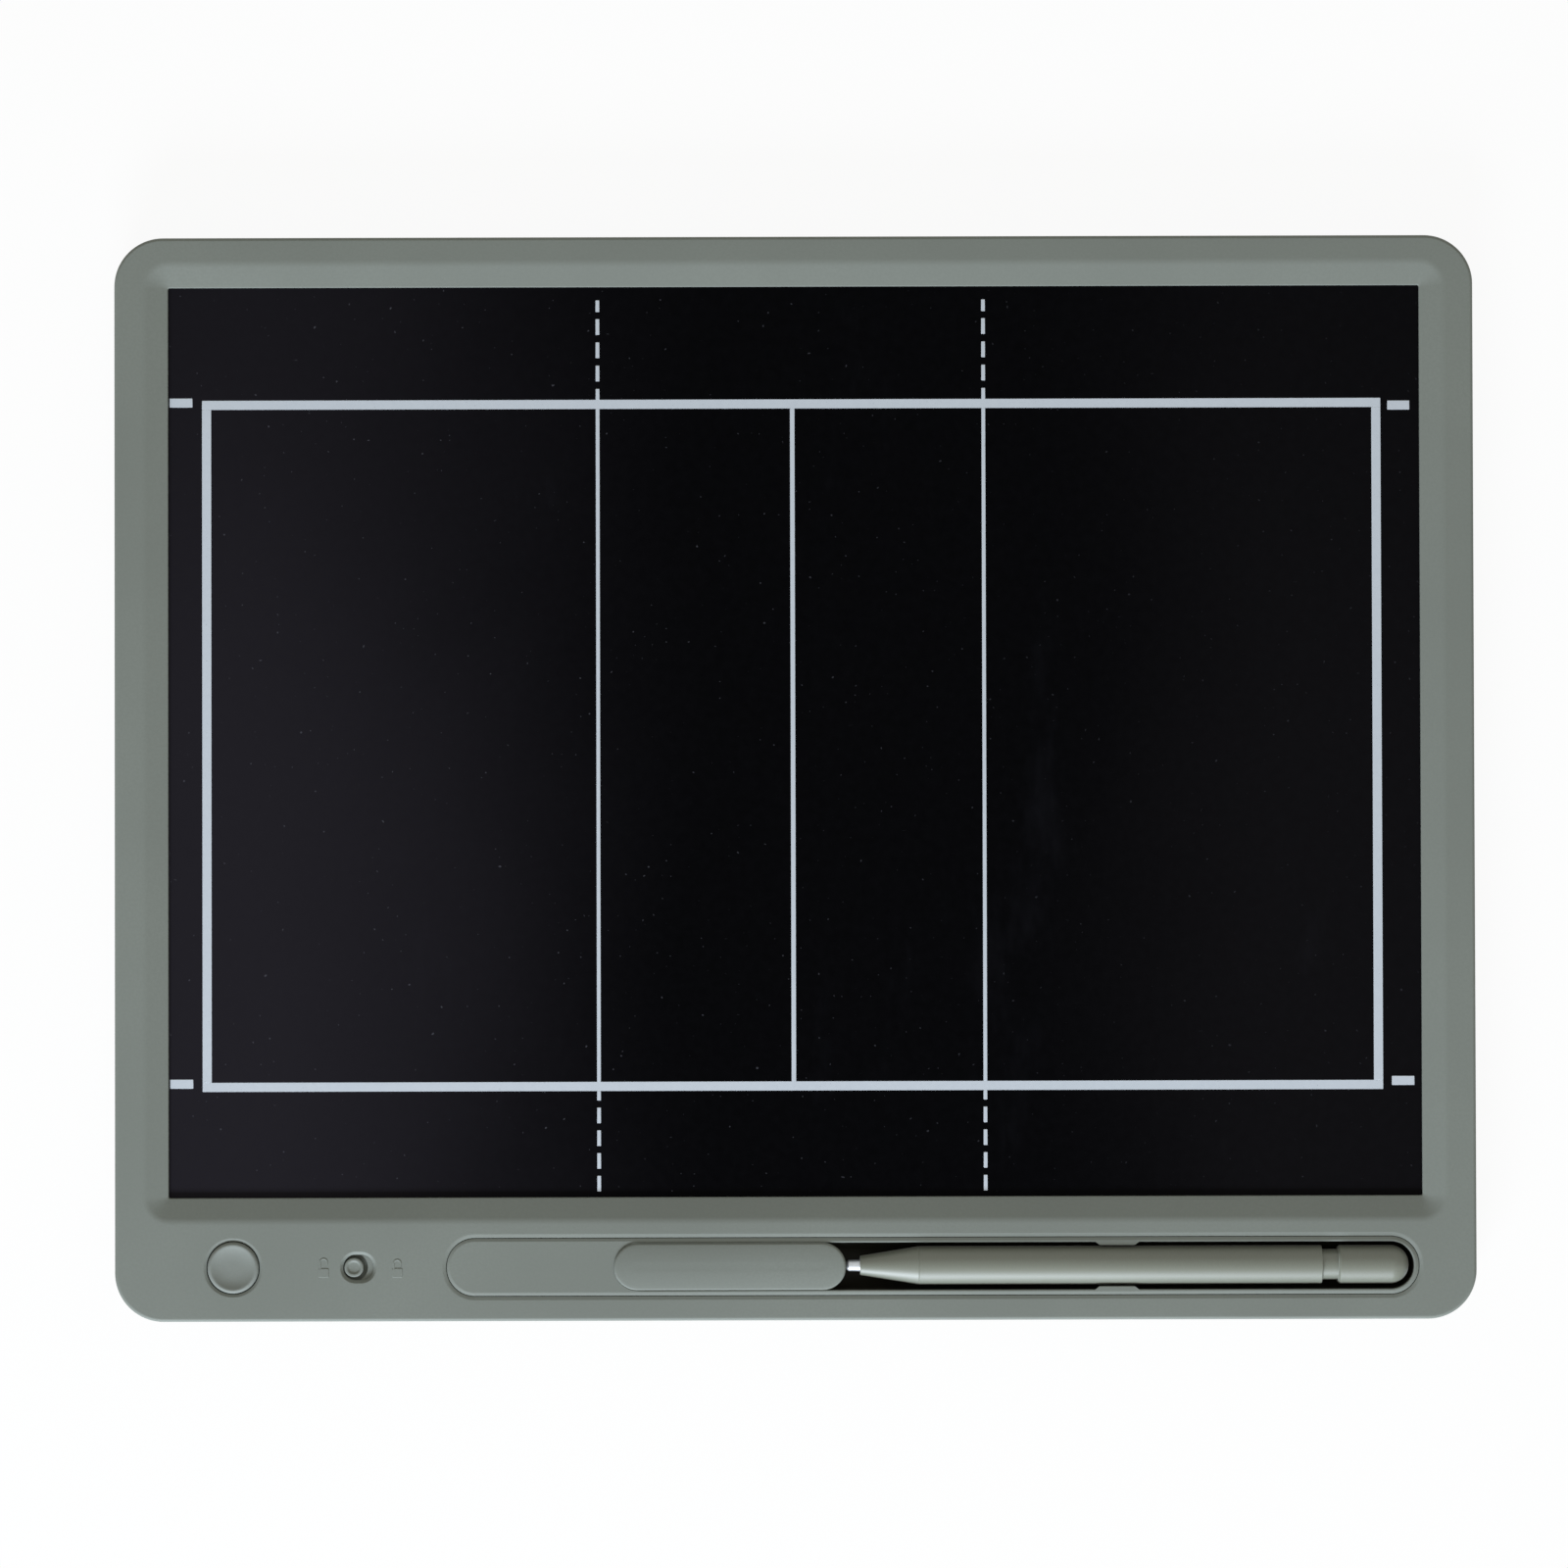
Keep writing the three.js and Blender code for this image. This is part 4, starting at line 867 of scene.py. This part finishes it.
# %% Battery door
def door():
    low, high = box("battery_door")
    seam, seat, dent = high.z - 0.2, low.z + 0.84, low.z + 0.6
    outline = (low.x, high.x, low.y, high.y, 3)
    screw_x, y = middle("battery_door_screw").x, (low.y + high.y) / 2
    head = round_hole(screw_x, y, 2.3)
    thumb = (low.x + 3.2, low.x + 8.8, y - 3.2, y + 3.2, 2.8)
    bm = bmesh.new()
    walk(bm, outline, [(0, seam), (0, low.z, 0.3), (0.5, low.z)], 4, 8)
    walk(bm, outline, [(0, seam), (0, high.z, 0.15), (0.5, high.z)], 3, 8)
    walk(bm, head, [(-0.3, low.z), (0, low.z, 0.15), (0, seat), (1, seat), (1, high.z)], 3, 10)
    walk(bm, thumb, [(-0.3, low.z), (0, low.z, 0.2), (0.6, dent, 0.6), (2.2, dent)], 5, 10,
         opened=False)
    fill_level(bm, low.z)
    fill_level(bm, high.z)
    return bm


piece("battery_lid", door(), shell, "door", ["battery_door"])

# %% [markdown]
# ## The writing film
# The film is a dark, slightly glossy laminate. Close up it holds tiny bright specks,
# dust and a few faint rub marks from writing. All are noises with a high threshold,
# so that only their tips show. Over its black a violet glare is painted at the left
# side and a weaker one at the right, both fading towards the top: painted reflections
# of the studio. They are slow changes of the base colour along X and Y, and a cloudy
# noise frays their edges.

# %% Dark writing film
def writing_film():
    finish = Finish("writing_film", Specular_IOR_Level=0.015)
    specks = finish.step(finish.noise(900, 1, 0.5), 0.745, 0.81)
    lint = finish.step(finish.noise(320, 2, 0.5, (1, 4, 1)), 0.77, 0.85)
    rubs = finish.step(finish.noise(26, 5, 0.7, (1, 0.35, 1)), 0.6, 0.85)
    # Painted reflection: a violet glare painted into the base colour at the left and a weaker one
    # at the right, fading towards the top.
    x, cloud = finish.axis("X"), finish.noise(9, 3, 0.5) * 0.05
    lower = 1 - finish.step(finish.axis("Y"), 0.0, 0.13) * 0.4
    painted_glare_left = (1 - finish.step(x + cloud, -0.12, 0.004)) * lower
    painted_glare_right = finish.step(x + cloud, 0.08, 0.15) * lower
    left_painted_glare = finish.mix(painted_glare_left, colour(2, 2, 3), colour(33, 31, 36))
    # depth is the film's black with the painted glare in it.
    depth = finish.mix(painted_glare_right, left_painted_glare, colour(13, 12, 14))
    fewer = 1 - finish.step(x, -0.04, 0.08) * 0.6
    mottle = finish.noise(420, 3, 0.6) * 0.02
    dust = specks * fewer * 0.5 + lint * 0.25 + mottle
    dusted = finish.mix(dust, depth, colour(84, 84, 92))
    finish.feed(Base_Color=finish.mix(rubs * 0.12, dusted, colour(52, 52, 60)),
                Roughness=0.32 + rubs * 0.12 + specks * 0.2)
    finish.bump(finish.noise(420, 3, 0.5), 0.05, 0.00006)
    return finish.material


film = writing_film()
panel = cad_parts["lcd_panel"].data
panel.materials.clear()
panel.materials.append(film)
print("film finish on the panel")

# %% [markdown]
# ## The printed court
# The court is screen-printed on the film: an outline, two attack lines, the centre
# line, dashes that carry the attack lines on outside the court, and four short ticks.
# Ink has a real, if tiny, thickness, so each line is a thin bar. That keeps its edges
# crisp however far the film's texture is blown up. Each bar is a walk with a
# hair-fine rounded edge, and where lines meet they lie at slightly different heights.
# Places are in millimetres from the middle of the board, and dashes are given as the
# first one's distance from the window's edge, their pitch, length and number.

# %% Court lines
def ink():
    finish = Finish("court_ink", Roughness=0.5, Specular_IOR_Level=0.4)
    mottle = finish.noise(700, 3, 0.6)
    pinholes = finish.step(finish.noise(1900, 2, 0.5), 0.7, 0.76)
    tone = finish.mix(mottle, colour(193, 200, 210), colour(202, 209, 218))
    finish.feed(Base_Color=finish.mix(pinholes * 0.35, tone, colour(110, 116, 126)),
                Roughness=0.46 + mottle * 0.1)
    finish.bump(mottle, 0.08, 0.00004)
    return finish.material


HIGH_INK, SIDE_INK, LOW_INK = 0.05, 0.045, 0.04
COURT_LEFT, COURT_RIGHT, COURT_TOP, COURT_BOTTOM = -146.09, 144.9, 93.49, -77.07
OUTLINE_WIDTH, ATTACK_HALF_WIDTH, TICK_HALF_WIDTH = 2.25, 0.46, 1.12
ATTACK_LINES, CENTRE_LINE = (-48.4, 46.85), (-0.9, 0.21)
TOP_DASHES, BOTTOM_DASHES = (7.85, 5.75, 3.9, 4), (1.4, 5.6, 3.85, 5)
window_left, window_bottom, window_top = window[0], window[2], window[3]
TICKS = ((window_left + 0.3, -148.45, 92.96), (146.6, 152.05, 91.7),
         (window_left + 0.3, -148.4, -75.13), (147.05, 152.6, -74.97))


def court():
    bm = bmesh.new()

    def line(x0, x1, y0, y1, lift):
        top = panel_level + lift
        slab(bm, (x0, x1, y0, y1, 0.08), panel_level - 0.01, [(0, top, 0.01), (0.1, top)], 1, 1)

    inner_top, inner_bottom = COURT_TOP - OUTLINE_WIDTH, COURT_BOTTOM + OUTLINE_WIDTH
    line(COURT_LEFT, COURT_RIGHT, inner_top, COURT_TOP, HIGH_INK)
    line(COURT_LEFT, COURT_RIGHT, COURT_BOTTOM, inner_bottom, HIGH_INK)
    line(COURT_LEFT, COURT_LEFT + OUTLINE_WIDTH, inner_bottom, inner_top, SIDE_INK)
    line(COURT_RIGHT - OUTLINE_WIDTH, COURT_RIGHT, inner_bottom, inner_top, SIDE_INK)
    for x in ATTACK_LINES:
        dashes = [(inner_bottom, inner_top), (window_top - 6.1, window_top - 3.2)]
        first, pitch, length, number = TOP_DASHES
        for i in range(number):
            start = window_top - first - i * pitch
            dashes.append((max(start - length, COURT_TOP), start))
        first, pitch, length, number = BOTTOM_DASHES
        for i in range(number):
            start = window_bottom + first + i * pitch
            dashes.append((start, min(start + length, COURT_BOTTOM)))
        for y0, y1 in dashes:
            line(x - ATTACK_HALF_WIDTH, x + ATTACK_HALF_WIDTH, y0, y1, LOW_INK)
    line(*CENTRE_LINE, inner_bottom, inner_top, LOW_INK)
    for x0, x1, y in TICKS:
        line(x0, x1, y - TICK_HALF_WIDTH, y + TICK_HALF_WIDTH, HIGH_INK)
    return bm


piece("court_print", court(), ink(), smooth=80)

# %% [markdown]
# ## Inside pieces
# Under the frame lie the tape, the backing, the circuit board and its parts, the
# cell and its contacts. Their CAD shapes are right as they are, so they only get
# their own finishes. A few are built from masks: copper tracks under solder mask,
# and the plus sign on the cell's can.

# %% Finishes of the inside pieces
def simple(name, base, light, rough, metal=0.0, scale=900, grain=0.2):
    """A finish between two shades, clouded and grained by one size of noise."""
    finish = Finish(name, Roughness=rough, Metallic=metal)
    cloud = finish.noise(scale, 4, 0.6)
    finish.feed(Base_Color=finish.mix(cloud, base, light), Roughness=rough - 0.08 + cloud * 0.16)
    finish.bump(finish.noise(scale * 2.2, 2, 0.6), grain, 0.00008)
    return finish.material


def solder_mask():
    finish = Finish("circuit_solder_mask", Roughness=0.35, Coat_Weight=0.4)
    tracks = finish.node("ShaderNodeTexBrick", {"offset": 0.37, "squash": 0.6}, {
        "Vector": finish.place, "Scale": 220.0, "Mortar Size": 0.06,
        "Mortar Smooth": 0.2}, out="Fac")
    finish.feed(Base_Color=finish.mix(tracks, colour(24, 84, 52), colour(52, 128, 76)))
    finish.bump(tracks, 0.3, 0.00006)
    return finish.material


def cell_can():
    finish = Finish("cell_can", Roughness=0.28, Metallic=1.0)
    centre = middle("coin_cell") * MM
    x, y = abs(finish.axis("X") - centre.x), abs(finish.axis("Y") - centre.y)
    thick, long = 0.4 * MM, 2.4 * MM
    plus = (x < thick) * (y < long)
    plus = (plus + (y < thick) * (x < long)).math("MINIMUM", 1.0)
    swirl = finish.noise(500, 3, 0.6, (1, 6, 1))
    finish.feed(Base_Color=finish.mix(swirl, colour(180, 181, 180), colour(206, 207, 206)),
                Roughness=0.22 + swirl * 0.16)
    finish.bump(swirl * 0.1 - plus, 0.6, 0.00015)
    return finish.material


black = simple("moulded_black", colour(24, 25, 26), colour(34, 35, 36), 0.5)
foam = simple("foam_tape", colour(20, 20, 20), colour(36, 36, 36), 0.9, scale=1500, grain=0.5)
styrene = simple("styrene_backing", colour(38, 39, 40), colour(48, 49, 50), 0.7, scale=300)
polyimide = simple("polyimide_tail", colour(150, 94, 34), colour(186, 124, 50), 0.3,
                   scale=400, grain=0.1)
brass = simple("sprung_brass", colour(186, 150, 84), colour(210, 176, 108), 0.32,
               metal=1.0, scale=600)
finishes = {
    "lcd_adhesive_frame": foam,
    "lcd_backing_sheet": styrene,
    "lcd_flex_tail": polyimide,
    "flex_connector": black,
    "circuit_board": solder_mask(),
    "driver_chip": black,
    "boost_coil": black,
    "erase_switch_body": black,
    "erase_switch_plunger": black,
    "lock_switch_lever": black,
    "filter_capacitor": steel,
    "lock_switch_body": steel,
    "coin_cell": cell_can(),
    "battery_contact_negative": brass,
    "battery_contact_positive": brass,
}
for node, material in finishes.items():
    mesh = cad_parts[node].data
    mesh.materials.clear()
    mesh.materials.append(material)
print(len(finishes), "inside pieces have a finish")

# %% [markdown]
# ## Floor and world
# The board lies on a plain white floor under a plain white studio. Both are white to
# the camera and to reflections. The floor gives most of its white as light of its own
# and the rest by being lit, so it keeps the board's soft shadow, and from below it is
# clear, so that the board's back can be looked at. It is shifted along Y, so that the
# seam between its two triangles is not under the board.

# %% Floor and world
def seen_by(nodes, *rays):
    """1 for rays of the named kinds, and 0 for all others."""
    seen, *others = [nodes.node("ShaderNodeLightPath", out=ray) for ray in rays]
    for other in others:
        seen = seen.math("MAXIMUM", other)
    return seen


def white_floor():
    material = bpy.data.materials.new("studio_floor")
    nodes = Nodes(material)
    matte = nodes.node("ShaderNodeBsdfDiffuse", {}, {"Color": (0.9, 0.9, 0.9, 1)})
    lit = nodes.node("ShaderNodeMixShader", {}, {
        0: seen_by(nodes, "Is Camera Ray", "Is Glossy Ray") * 0.93,
        1: matte, 2: nodes.node("ShaderNodeEmission")})
    both_sides = nodes.node("ShaderNodeMixShader", {}, {
        0: nodes.node("ShaderNodeNewGeometry", out="Backfacing"),
        1: lit, 2: nodes.node("ShaderNodeBsdfTransparent")})
    nodes.node("ShaderNodeOutputMaterial", {}, {"Surface": both_sides})
    return material


bm = bmesh.new()
bmesh.ops.create_grid(
    bm, x_segments=1, y_segments=1, size=7, matrix=Matrix.Translation((0, 2, 0)))
floor_mesh = bpy.data.meshes.new("studio_floor")
bm.to_mesh(floor_mesh)
bm.free()
floor_mesh.materials.append(white_floor())
floor = bpy.data.objects.new("studio_floor", floor_mesh)
bpy.context.scene.collection.objects.link(floor)

world = bpy.data.worlds.new("studio")
bpy.context.scene.world = world
sky = Nodes(world)
soft = sky.node("ShaderNodeBackground", {}, {"Color": (1.0, 0.985, 0.88, 1), "Strength": 0.42})
plain = sky.node("ShaderNodeBackground", {}, {"Color": (1, 1, 1, 1), "Strength": 1.0})
seen = seen_by(sky, "Is Camera Ray", "Is Glossy Ray", "Is Transmission Ray")
chosen = sky.node("ShaderNodeMixShader", {}, {0: seen, 1: soft, 2: plain})
sky.node("ShaderNodeOutputWorld", {}, {"Surface": chosen})
print("floor and world are white")

# %% [markdown]
# ## Light
# The main light is a wide softbox beyond the board's lower edge, so slopes that face
# it are bright and those that face away are dark, as in the photograph. Its faint blue
# makes up for the warm sky, so that grey plastic stays grey.

# %% Softbox
def softbox(name, place, aim, size, power, tint):
    light = bpy.data.lights.new(name, "AREA")
    light.shape, light.size, light.size_y = "RECTANGLE", size[0], size[1]
    light.energy, light.color = power, tint
    lamp = bpy.data.objects.new(name, light)
    lamp.location = place
    lamp.rotation_mode = "QUATERNION"
    lamp.rotation_quaternion = (Vector(aim) - Vector(place)).to_track_quat("-Z", "Y")
    bpy.context.scene.collection.objects.link(lamp)
    print(name, "at", place, power, "W")


softbox("low_softbox", place=(-0.35, -1.6, 0.65), aim=(0, 0, 0), size=(0.9, 0.45),
        power=41, tint=(0.91, 1.0, 1.12))

# %% [markdown]
# ## Camera
# The photograph is taken from above, through a long lens, and not quite squarely. So
# the camera looks at a point of the front face from over a metre away, pitched and
# rolled by a fraction of a degree. Its lens follows from the width shown there.

# %% Camera almost straight above
FRAME_WIDTH, DISTANCE = 0.38605, 1.18
PITCH, ROLL = math.radians(0.76), math.radians(-0.15)
aim = Vector((-0.0026, -0.00155, face_level * MM))
camera_data = bpy.data.cameras.new("camera")
camera = bpy.data.objects.new("camera", camera_data)
bpy.context.scene.collection.objects.link(camera)
bpy.context.scene.camera = camera
camera_data.sensor_width = 36
camera_data.lens = DISTANCE * camera_data.sensor_width / FRAME_WIDTH
camera_data.clip_start, camera_data.clip_end = 0.05, 20
camera.rotation_euler = (PITCH, 0, ROLL)
camera.location = aim + camera.rotation_euler.to_matrix() @ Vector((0, 0, DISTANCE))
print("lens", round(camera_data.lens, 1), "mm")

# %% [markdown]
# ## Finish
# The view settings stay plain.

# %% Plain view settings
bpy.context.scene.view_settings.view_transform = "Standard"
